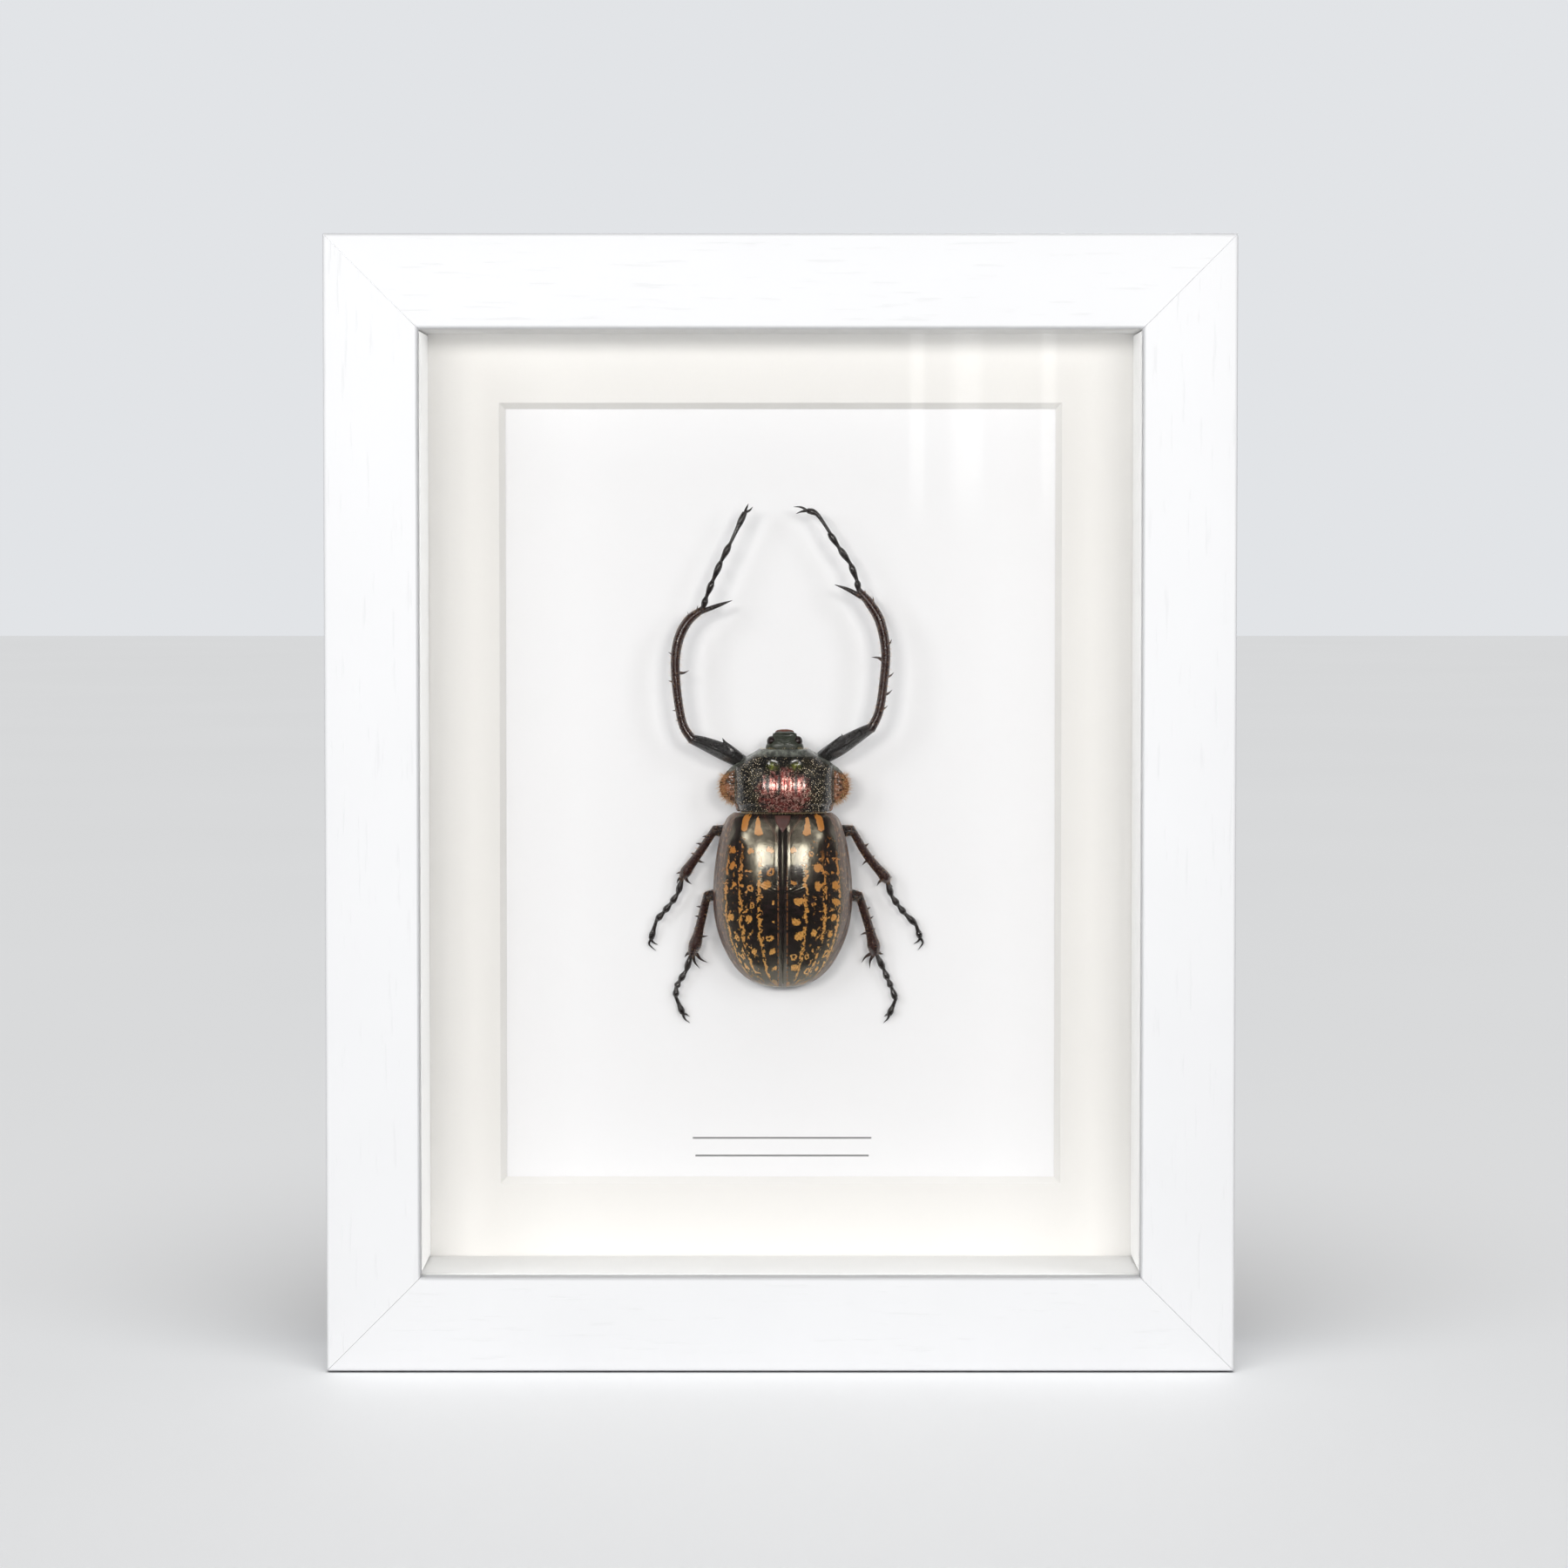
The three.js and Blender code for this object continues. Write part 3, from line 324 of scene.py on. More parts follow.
def elytraFinish():
    f = Finish("elytraShell")
    column, along, _ = f.split(f.node("UVMap", {"uv_map": "shell"}))
    objectX, _, objectZ = f.split(f.place((1000, 1000, 1000)))
    fromSeam = abs(objectX - beetlePlace["x"])
    flat = f.vector(column, along * 0.42)
    rightSide = objectX > beetlePlace["x"]
    seeded = f.vector(column + rightSide * 23, along * 0.42 + rightSide * 11)
    ragged = f.noise(seeded, 2.8, 3.0, 0.6) - 0.5
    jagged = f.noise(seeded, 5.0, 2.0, 0.6) - 0.5
    wander = f.noise(seeded, 1.1, 1.0) - 0.5

    # Ragged spots and rings stand in the odd columns.
    cellAcross = column * 0.5 - 0.275 + ragged * 0.26 + jagged * 0.16
    cellAlong = along / elytraMarks["spotSpacing"] + wander * 0.5 + jagged * 0.34 + rightSide * 37
    cell = f.vector(cellAcross, cellAlong)
    near = f.cells(cell, 1.0, 0.45, "Distance", "2D")
    chance, second, third = f.split(f.cells(cell, 1.0, 0.45, "Color", "2D"))
    size = 0.125 + chance * 0.12
    spots = f.step(size - near, -0.01, 0.025)
    hollow = f.step(size * 0.45 - near, -0.01, 0.02) * (second > 0.6)
    spots = spots * (1 - hollow) * (third > 0.12)

    # Chains of small dashes run along the even columns.
    strayed = column + wander * 0.7 + ragged * 0.55
    aside = abs((strayed * 0.5 + 0.5).fract() - 0.5) * 2
    dash = f.noise(seeded, 2.2, 2.0, 0.6)
    lines = f.step(0.20 + ragged * 0.6 + jagged * 0.6 - aside, -0.02, 0.04) * f.step(dash, 0.455, 0.48)
    lines = lines * (column > 1.2) * f.step(along, 7, 13)

    # Small scrawls lie between the columns on the outer half.
    scrawl = f.noise(seeded, 2.3, 2.0, 0.5)
    patch = f.step(f.noise(seeded, 0.8, 1.0), 0.46, 0.54) * f.step(column, 2.4, 3.2)
    scrawls = f.step(scrawl, 0.585, 0.61) * patch
    marks = spots.most(lines).most(scrawls) * f.step(along, 4.5, 8) * (column > 0.6)

    # Four large marks stand at the shoulders.
    for at, back, wide, long, taper in elytraMarks["shoulderMarks"]:
        width = ((along - back) * (wide * taper / long) + wide).most(0.1)
        slanted = abs(column - at + (along - back) * 0.11 + ragged * 0.35) / width
        reach = slanted.most(abs(along - back + jagged * 1.4) / long) + slanted * 0.25
        marks = marks.most(f.step(1.05 + jagged * 0.4 - reach, -0.06, 0.1))

    side = f.step(column + ragged * 1.2, 6.1, 6.9)
    tail = f.step(along + column * 0.25, 37.5, 39)
    marks = marks * (1 - side) * (1 - tail * 0.6)

    dusk = f.noise(flat, 2.2, 4.0, 0.65)
    ground = f.mix(f.step(dusk, 0.42, 0.72), (0.004, 0.003, 0.003), (0.030, 0.014, 0.019))
    # The mauve-brown flank tone is partly the flanks' own colour and partly a painted sheen of light at
    # grazing angles.
    flecks = f.step(f.noise(f.vector(column * 2.6, along * 0.55), 1.6, 3.0, 0.65), 0.52, 0.64)
    flankAndSheen = f.mix(flecks, (0.075, 0.042, 0.050), (0.36, 0.19, 0.11))
    flankAndSheen = f.mix(f.step(dusk, 0.5, 0.7) * 0.6, flankAndSheen, (0.04, 0.022, 0.026))
    ground = f.mix(side * 0.85, ground, flankAndSheen)
    orange = f.mix(f.step(along, 6, 34), (0.48, 0.17, 0.022), (0.86, 0.49, 0.13))
    orange = f.mix(f.step(f.noise(flat, 5.0, 3.0), 0.35, 0.7), orange, (0.46, 0.18, 0.03))
    colour = f.mix(marks, ground, orange)

    # A thin orange line runs each side of the dark seam, and reddish lines flare round the scutellum.
    seamLine = f.step(0.16 + ragged * 0.18 - abs(fromSeam - elytraMarks["seamLine"]), -0.02, 0.06)
    seamLine = seamLine * f.step(along, 10, 17) * f.step(f.noise(f.vector(along, 0.0), 1.1, 3.0), 0.40, 0.55)
    colour = f.mix(seamLine * 0.75, colour, (0.30, 0.115, 0.035))
    flare = f.step(0.28 - abs(fromSeam - 1.5 - f.step(5.5 - along, 0, 5) * 2.6), -0.05, 0.15)
    flare = flare * f.step(8.5 - along, 0, 3)
    colour = f.mix(flare * 0.5, colour, (0.10, 0.022, 0.016))

    # Fine creases cross the shell beside the seam.
    crease = f.node("TexWave", {"wave_type": "BANDS", "bands_direction": "Y"}, {
        "Vector": f.vector(column * 0.6, along + fromSeam * 0.35),
        "Scale": 0.5,
        "Distortion": 4.5,
        "Detail": 2.0,
        "Detail Scale": 0.9,
    }, out=1)
    creased = f.step(1 - abs(along - 14.6) / 3.6, 0, 0.9) * f.step(1 - abs(fromSeam - 2.9) / 2.3, 0, 0.8)
    grain = f.grain(5200, 2.0)
    height = crease * creased * 2.6 + grain * 0.10 - marks * 0.12 + f.noise(flat, 1.6, 2.0) * 0.35
    return f.surface(
        Base_Color=colour,
        Roughness=0.17 + marks * 0.12 + side * 0.12 + dusk * 0.05,
        IOR=1.9,
        Specular_Tint=(1.0, 0.93, 0.72),
        Coat_Weight=0.55,
        Coat_IOR=1.6,
        Coat_Roughness=0.12,
        Coat_Tint=(1.0, 0.96, 0.88),
        Normal=f.bump(height, 0.55, 0.00016),
    )


copperSet = {
    "halfWidth": 5.4,                # mm
    "halfHeight": 4.8,
    "up": 4.6,                       # mm from the joint with the wing cases
    "shadeLines": (-3.7, -1.2, 2.6),    # mm: painted shade lines between the four copper swellings, which part their highlights
    "shadeLineHalf": 0.6,
    "punctures": 3100,               # per metre
}


def pronotumFinish():
    # Black green at the front and copper red in the middle of the rear, with painted glints in the punctures
    # all over.
    f = Finish("pronotumShell")
    x, _, z = f.split(f.place((1000, 1000, 1000)))
    out = x - beetlePlace["x"] - pronotumSet["middle"]
    aside = out / copperSet["halfWidth"]
    back = (z - beetlePlace["up"] - copperSet["up"]) / copperSet["halfHeight"]
    patchy = f.grain(900, 3.0, 0.7)
    dusk = f.grain(420, 3.0, 0.6)
    reach = (aside * aside + back * back).math("SQRT") + (patchy - 0.5) * 0.9
    copper = f.step(1.25 - reach, 0, 0.7)
    # The copper is darkened along three lines as painted shade between its highlights.
    for middle in copperSet["shadeLines"]:
        lineShade = f.step(1 - abs(out - middle + (patchy - 0.5) * 0.8) / copperSet["shadeLineHalf"], 0, 0.8)
        copper = copper * (1 - lineShade * f.step(back, -0.5, 0.1) * 0.9)
    rim, ridge, lobe, dent = (f.written(name) for name in ("rim", "ridge", "lobe", "dent"))
    ground = f.mix(f.step(dusk, 0.45, 0.68), (0.005, 0.004, 0.003), (0.028, 0.022, 0.010))
    specks = f.grain(1900, 3.0, 0.7)
    red = f.mix(f.step(patchy, 0.38, 0.62), (0.46, 0.10, 0.085), (0.055, 0.014, 0.010))
    ground = f.mix(copper, ground, red)
    # The pale pink specks on the copper are painted glints.
    ground = f.mix(copper * f.step(specks, 0.50, 0.58) * 0.85, ground, (0.95, 0.56, 0.47))
    brown = f.mix(f.step(patchy, 0.35, 0.65), (0.030, 0.016, 0.008), (0.42, 0.17, 0.08))
    ground = f.mix(lobe * 0.8, ground, brown)
    # The yellow-green patches in the two front dents are painted glints.
    ground = f.mix(dent * f.step(patchy, 0.35, 0.6), ground, (0.17, 0.19, 0.015))
    far = f.cells(f.place(), copperSet["punctures"])
    bright, _, _ = f.split(f.cells(f.place(), copperSet["punctures"], out="Color"))
    # The pale dots in the punctures are painted glints, strongest on the flanks.
    pits = f.step(0.17 + bright * 0.20 - far, 0, 0.10) * f.step(dusk, 0.30, 0.5)
    punctureGlint = f.mix(copper, (0.92, 0.76, 0.52), (1.0, 0.66, 0.55))
    flanks = f.step(abs(out), 2.0, 5.5)
    shown = pits * (0.06 + bright * (0.30 + flanks * 1.1 + copper * 0.4))
    colour = f.mix(shown * (1 - rim) * (1 - lobe * 0.7), ground, punctureGlint)
    # The pale grey on the front rim and the side ridges is a painted reflection of light from above.
    rimSheen = f.mix(f.step(patchy, 0.38, 0.62), (0.035, 0.038, 0.032), (0.19, 0.20, 0.17))
    colour = f.mix(rim.most(ridge * 0.7), colour, rimSheen)
    return f.surface(
        Base_Color=colour,
        Metallic=copper * 0.75 * (1 - pits * 0.6),
        Roughness=0.18 + dusk * 0.14 + rim * 0.12 - copper * 0.05,
        IOR=1.6,
        Coat_Weight=1.0,
        Coat_Roughness=0.09,
        Normal=f.bump((dusk * 0.4 - pits) * (1 - copper * 0.75), 0.5, 0.0001),
    )


def legFinish():
    # Blackish femora and tarsi with red-brown tibiae, by the tone written on the mesh.
    f = Finish("legShell")
    tone = f.written("tone")
    patchy = f.grain(700, 4.0, 0.65)
    pits = f.step(0.28 - f.cells(f.place(), 2400), 0, 0.14)
    black = f.mix(patchy, (0.006, 0.006, 0.006), (0.022, 0.019, 0.018))
    brown = f.mix(patchy, (0.010, 0.004, 0.004), (0.055, 0.018, 0.013))
    return f.surface(
        Base_Color=f.mix(tone, black, brown),
        Roughness=0.20 + patchy * 0.16,
        IOR=1.56,
        Coat_Weight=0.7,
        Coat_Roughness=0.1,
        Normal=f.bump(patchy - pits, 0.6, 0.00018),
    )


def plainShellFinish(name, dark, light, rough=0.3, scale=500):
    f = Finish(name)
    patchy = f.grain(scale, 4.0, 0.65)
    pits = f.step(0.28 - f.cells(f.place(), 2600), 0, 0.14)
    return f.surface(
        Base_Color=f.mix(patchy, dark, light),
        Roughness=rough + patchy * 0.15,
        IOR=1.56,
        Coat_Weight=0.3,
        Coat_Roughness=0.1,
        Normal=f.bump(patchy * 0.5 - pits, 0.45, 0.0001),
    )


def bristleFinish(name, root, tip):
    f = Finish(name)
    patchy = f.grain(1500, 2.0)
    return f.surface(Base_Color=f.mix(patchy, root, tip), Roughness=0.45 + patchy * 0.1)


# Mesh building

def linked(name, mesh, material, sharp=50):
    mesh.materials.clear()
    for each in material if isinstance(material, (list, tuple)) else [material]:
        mesh.materials.append(each)
    mesh.polygons.foreach_set("use_smooth", [True] * len(mesh.polygons))
    mesh.set_sharp_from_angle(angle=math.radians(sharp))
    return placed(name, mesh)


def settle(piece, slot, *nodes):
    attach(piece, "root")
    if nodes:
        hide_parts(*nodes)
    return piece


def plainMesh(name, verts, faces):
    mesh = bpy.data.meshes.new(name)
    mesh.from_pydata(verts, [], faces)
    return mesh


def finished(work, name):
    mesh = bpy.data.meshes.new(name)
    work.to_mesh(mesh)
    work.free()
    return mesh


def faceOut(mesh):
    work = bmesh.new()
    work.from_mesh(mesh)
    bmesh.ops.recalc_face_normals(work, faces=work.faces)
    work.to_mesh(mesh)
    work.free()
    return mesh


def catmull(rows, count):
    rows = np.asarray(rows, float)
    padded = np.vstack([2 * rows[0] - rows[1], rows, 2 * rows[-1] - rows[-2]])
    t = np.linspace(0, len(rows) - 1, count)
    k = np.minimum(t.astype(int), len(rows) - 2)
    u = (t - k)[:, None]
    a, b, c, d = (padded[k + i] for i in range(4))
    curve = 2 * b + (c - a) * u + (2 * a - 5 * b + 4 * c - d) * u ** 2 + (3 * b - a - 3 * c + d) * u ** 3
    return curve / 2


def columnsOf(rows, count):
    return [column[:, None] for column in catmull(rows, count).T]


def gridOf(x, y, z):
    # Points from three grids, or from rows and columns that span one.
    return np.stack(np.broadcast_arrays(x, y, z), axis=-1)


def circleOf(count):
    return np.linspace(0, 2 * math.pi, count, endpoint=False)[None, :]


def loftMesh(name, rings, uvs=None):
    # A closed skin over rings in the beetle's frame, with a flat cap at each end.
    rings = np.asarray(rings, float)
    rows, count = rings.shape[:2]
    index = np.arange(rows * count).reshape(rows, count)
    turned = np.roll(index, -1, axis=1)
    quads = np.stack([index[:-1], turned[:-1], turned[1:], index[1:]], axis=-1).reshape(-1, 4)
    faces = quads.tolist() + [index[0][::-1].tolist(), index[-1].tolist()]
    mesh = faceOut(plainMesh(name, toWorld(rings.reshape(-1, 3)).tolist(), faces))
    if uvs is not None:
        corners = np.empty(len(mesh.loops), int)
        mesh.loops.foreach_get("vertex_index", corners)
        layer = mesh.uv_layers.new(name="shell")
        layer.data.foreach_set("uv", np.asarray(uvs, float).reshape(-1, 2)[corners].ravel())
    return mesh


def joinedMesh(name, meshes):
    work = bmesh.new()
    for mesh in meshes:
        work.from_mesh(mesh)
    return finished(work, name)


def pitField(x, y, spacing, radius, seed):
    # How deep each point lies in its nearest pit, from 0 at the rim to 1 at the bottom.
    table = np.random.RandomState(seed).rand(64, 64, 3)
    column = np.floor(x / spacing).astype(int)
    row = np.floor(y / spacing).astype(int)
    depth = np.zeros_like(x)
    for i in (-1, 0, 1):
        for j in (-1, 0, 1):
            chance = table[(column + i) % 64, (row + j) % 64]
            px = (column + i + 0.15 + 0.7 * chance[..., 0]) * spacing
            py = (row + j + 0.15 + 0.7 * chance[..., 1]) * spacing
            size = radius * (0.7 + 0.6 * chance[..., 2])
            depth = np.maximum(depth, 1 - ((x - px) ** 2 + (y - py) ** 2) / size ** 2)
    return np.clip(depth, 0, 1)


def writeField(mesh, name, values):
    mesh.attributes.new(name, "FLOAT", "POINT").data.foreach_set("value", values.ravel())


def bell(value, middle, width):
    return np.exp(-(((value - middle) / width) ** 2))


def squared(wave, power):
    # A sine or cosine flattened towards a square's side by a power under 1.
    return np.sign(wave) * np.abs(wave) ** power


# Frame

railSet = {
    "face": 21,                # mm
    "rebate": 5,
    "lip": 4,
    "round": 0.8,
    "roundSteps": 6,
    "backEdge": 0.35,
    "mitreGap": 0.03,
    "mitreRound": 0.09,
}


def railSection():
    # Points of the moulding's section: mm in from the outer edge, and metres back.
    front, back = frameLow[1], frameHigh[1]
    face, wall = railSet["face"], railSet["face"] - railSet["rebate"]
    lipBack = front + railSet["lip"] * mm
    r, edge = railSet["round"], railSet["backEdge"]
    angles = [math.pi / 2 * k / railSet["roundSteps"] for k in range(railSet["roundSteps"] + 1)]
    section = [(edge, back), (0, back - edge * mm)]
    section += [(r - r * math.cos(a), front + (r - r * math.sin(a)) * mm) for a in angles]
    section += [(face - r + r * math.sin(a), front + (r - r * math.cos(a)) * mm) for a in angles]
    section += [(face, lipBack), (wall, lipBack), (wall, back - edge * mm), (wall - edge, back)]
    return section


def railMesh(name, length, span, turn):
    # A mitred rail, built at the foot of the frame and turned about the frame's middle.
    middle = (frameLow[2] + frameHigh[2]) / 2
    section = railSection()
    verts = []
    stations = [(-1, 0.0, 1), (-1, railSet["mitreRound"], 0), (1, railSet["mitreRound"], 0), (1, 0.0, 1)]
    centreU = sum(u for u, _ in section) / len(section)
    centreY = sum(y for _, y in section) / len(section)
    for side, inset, end in stations:
        for u, y in section:
            shrink = 1 - end * railSet["mitreRound"] / 12
            uu = centreU + (u - centreU) * shrink
            yy = centreY + (y - centreY) * shrink
            x = side * (length / 2 - uu - railSet["mitreGap"] - inset)
            verts.append((x * mm, yy, (uu - span / 2) * mm))
    count = len(section)
    faces = []
    for row in range(3):
        for k in range(count):
            a, b = row * count + k, row * count + (k + 1) % count
            faces.append((a, b, b + count, a + count))
    faces += [list(range(count))[::-1], list(range(3 * count, 4 * count))]
    cos, sin = round(math.cos(turn)), round(math.sin(turn))
    verts = [(x * cos + z * sin, y, middle - x * sin + z * cos) for x, y, z in verts]
    return faceOut(plainMesh(name, verts, faces))


def buildFrame():
    width = (frameHigh[0] - frameLow[0]) / mm
    height = (frameHigh[2] - frameLow[2]) / mm
    across = paintedWood("frameAcross", (55, 900, 900))
    upright = paintedWood("frameUpright", (900, 900, 55))
    plan = (
        ("bottom", width, height, 0, across),
        ("top", width, height, math.pi, across),
        ("left", height, width, math.pi / 2, upright),
        ("right", height, width, -math.pi / 2, upright),
    )
    for side, length, span, turn, material in plan:
        name = "frame_rail_" + side
        piece = linked("rail_" + side, railMesh(name, length, span, turn), material, 40)
        settle(piece, "frame_paint", name)


def slabMesh(name, low, high, bevel):
    work = bmesh.new()
    bmesh.ops.create_cube(work, size=1)
    for vert in work.verts:
        vert.co = Vector([(l + h) / 2 + c * (h - l) for l, h, c in zip(low, high, vert.co)])
    bmesh.ops.bevel(work, geom=work.edges[:], offset=bevel, segments=3, profile=0.5, affect="EDGES")
    return finished(work, name)


def buildSpacers():
    foam = paperFinish("foamBoard", (0.90, 0.90, 0.895), (0.85, 0.85, 0.845), 700)
    for side in ("top", "bottom", "left", "right"):
        low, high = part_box("spacer_" + side)
        mesh = slabMesh("foam_" + side, low, high, 0.25 * mm)
        settle(linked("foam_" + side, mesh, foam, 40), "spacer_foam", "spacer_" + side)


matSet = {"windowWidth": 128.8, "windowHeight": 179.5, "windowMiddle": 127.5, "bevel": 1.3, "cutRound": 0.12}


def buildMat():
    # One closed board: the face, a sloped window edge with a softly rounded lip, and the back.
    low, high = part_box("mat_board")
    front, back = low[1], high[1]
    depth = (back - front) / mm
    rounded = matSet["cutRound"]
    half = matSet["windowWidth"] / 2, matSet["windowHeight"] / 2
    levels = [(-rounded, 0), (-rounded * 0.3, rounded * 0.3), (matSet["bevel"], depth)]
    outer = ((low[0], low[2]), (high[0], low[2]), (high[0], high[2]), (low[0], high[2]))
    loops = [[(x, front, z) for x, z in outer]]
    for inward, deep in levels:
        x, z = half[0] - inward, half[1] - inward
        up = matSet["windowMiddle"]
        corners = ((-x, up - z), (x, up - z), (x, up + z), (-x, up + z))
        loops.append([(cx * mm, front + deep * mm, cz * mm) for cx, cz in corners])
    loops.append([(x, back, z) for x, _, z in loops[0]])
    verts = [point for loop in loops for point in loop]
    faces, marks = [], []
    for row in range(len(loops)):
        nextRow = (row + 1) % len(loops)
        for k in range(4):
            a, b = row * 4 + k, row * 4 + (k + 1) % 4
            faces.append((a, b, nextRow * 4 + (k + 1) % 4, nextRow * 4 + k))
            marks.append(1 if row == 2 else 0)
    mesh = faceOut(plainMesh("mat", verts, faces))
    face = paperFinish("matFace", (0.855, 0.843, 0.824), (0.812, 0.80, 0.782), 1100)
    core = paperFinish("matCore", (0.88, 0.87, 0.85), (0.80, 0.79, 0.775), 1600)
    piece = linked("mat", mesh, [face, core], 20)
    mesh.polygons.foreach_set("material_index", marks)
    settle(piece, "mat_board", "mat_board")


def dressCadNodes():
    materials = {
        "back_tab": metalFinish("tabSteel", (0.62, 0.63, 0.65), (0.42, 0.41, 0.40), 0.25),
        "hanger": metalFinish("hangerBrass", (0.74, 0.55, 0.26), (0.50, 0.36, 0.18), 0.22),
        "backing_board": hardboardFinish(),
        "glass_pane": glassFinish(),
        "title_card": cardFinish(),
    }
    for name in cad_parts:
        for start, material in materials.items():
            if name.startswith(start) and name in bpy.data.objects:
                slots = bpy.data.objects[name].data.materials
                slots.clear()
                slots.append(material)


buildFrame()
buildSpacers()
buildMat()
dressCadNodes()
print("frame built")


# Beetle body

bodyRows = [  # from the front back: y, half-width, crown height, edge height
    (-0.2, 11.0, 13.1, 9.2),
    (-1.0, 12.1, 13.5, 9.0),
    (-2.0, 12.8, 13.8, 8.7),
    (-4.0, 13.6, 14.3, 8.3),
    (-7.8, 14.6, 15.2, 7.8),
    (-12.4, 15.3, 15.9, 7.3),
    (-16.8, 15.7, 16.25, 7.0),
    (-21.2, 15.75, 16.1, 6.7),
    (-25.4, 15.25, 15.4, 6.5),
    (-29.3, 14.2, 14.2, 6.2),
    (-32.9, 12.6, 12.5, 6.0),
    (-36.2, 10.5, 10.4, 5.7),
    (-38.7, 7.7, 8.4, 5.5),
    (-40.1, 4.4, 6.8, 5.3),
    (-40.6, 1.0, 5.9, 5.0),
]

elytraSet = {
    "power": 0.9,
    "thickness": 0.5,
    "seam": 0.03,
    "rows": 230,
    "across": 84,
    "seamRidge": 0.30,
    "ridgeHalf": 0.78,
    "bead": 0.16,
    "rimColumn": 10.2,         # the finish's column under the rim
}


def elytronMesh(side):
    y, width, crown, edge = columnsOf(bodyRows, elytraSet["rows"])
    share = np.linspace(0, 1, elytraSet["across"])
    angle = (math.pi / 2 * share ** 1.15)[None, :]
    power, seam = elytraSet["power"], elytraSet["seam"]

    def arch(w, c, e, a):
        return w * np.sin(a) ** power, e + (c - e) * np.clip(np.cos(a), 0, 1) ** power

    x, z = arch(width - seam, crown, edge, angle)
    column = np.degrees(angle) / elytraMarks["columnDegrees"] + 0 * y
    ridge = elytraSet["ridgeHalf"]
    fade = np.clip((y + 41) / 3, 0, 1) * np.clip((-1.2 - y) / 3, 0, 1)
    lift = elytraSet["seamRidge"] * bell(x, 0, ridge) ** 2 * fade
    lift -= 0.16 * bell(x, ridge + 0.35, 0.28) * fade
    lift += 0.012 * np.sin(math.pi * (column + 0.5)) * np.clip(column - 0.6, 0, 1) * fade
    lift += 0.35 * bell(column, 4.9, 1.1) * bell(y, -4.6, 2.2)
    lift += 0.22 * bell(column, 3.4, 1.2) * bell(y, -35, 2.2)
    gutter = 81 - 4 * np.clip((-y - 26) / 10, 0, 1)
    lift -= (0.22 + 0.25 * np.clip((-y - 26) / 8, 0, 1)) * bell(np.degrees(angle), gutter, 4.0) * fade
    lift += elytraSet["bead"] * bell(np.degrees(angle), 90, 3.4)
    x = x + lift * np.sin(angle) + seam
    z = z + lift * np.cos(angle)
    back = (math.pi / 2 * np.linspace(1, 0, 26))[None, :]
    thin = np.minimum(elytraSet["thickness"], np.minimum(width * 0.3, (crown - edge) * 0.4))
    innerX, innerZ = arch(width - seam - thin, crown - thin, edge - 0.35, back)
    rimX = np.hstack([width + 0.02, width - 0.12, width - 0.4])
    rimZ = np.hstack([edge - 0.35, edge - 0.7, edge - 0.75])
    fullX = np.hstack([x, rimX, innerX + seam])
    fullZ = np.hstack([z, rimZ, innerZ])
    rimColumn = np.full((len(y), fullX.shape[1] - x.shape[1]), elytraSet["rimColumn"])
    uvs = np.stack([np.hstack([column, rimColumn]), 0 * fullX - y], axis=-1)
    return loftMesh("elytron", gridOf(side * fullX, y, fullZ), uvs)


def buildElytra():
    for side, name in ((-1, "left"), (1, "right")):
        shell = elytraFinish()
        settle(linked("wing_case_" + name, elytronMesh(side), shell), "elytra", "elytron_" + name)


pronotumRows = [  # from the rear forward: y, half-width, crown height
    (0.1, 10.6, 14.0),
    (0.6, 11.0, 14.6),
    (1.75, 11.3, 15.1),
    (2.6, 12.8, 15.4),
    (3.9, 14.1, 15.58),
    (5.8, 14.6, 15.5),
    (7.8, 14.0, 15.15),
    (9.9, 12.3, 14.6),
    (11.4, 10.3, 14.05),
    (12.65, 8.5, 13.5),
    (13.6, 6.9, 13.0),
    (14.15, 6.0, 12.5),
    (14.4, 5.6, 12.0),
]
pronotumSet = {"middle": 0.35, "disc": 11.0, "flange": 10.3, "edge": 9.5, "sternum": 3.0, "pit": 0.075}


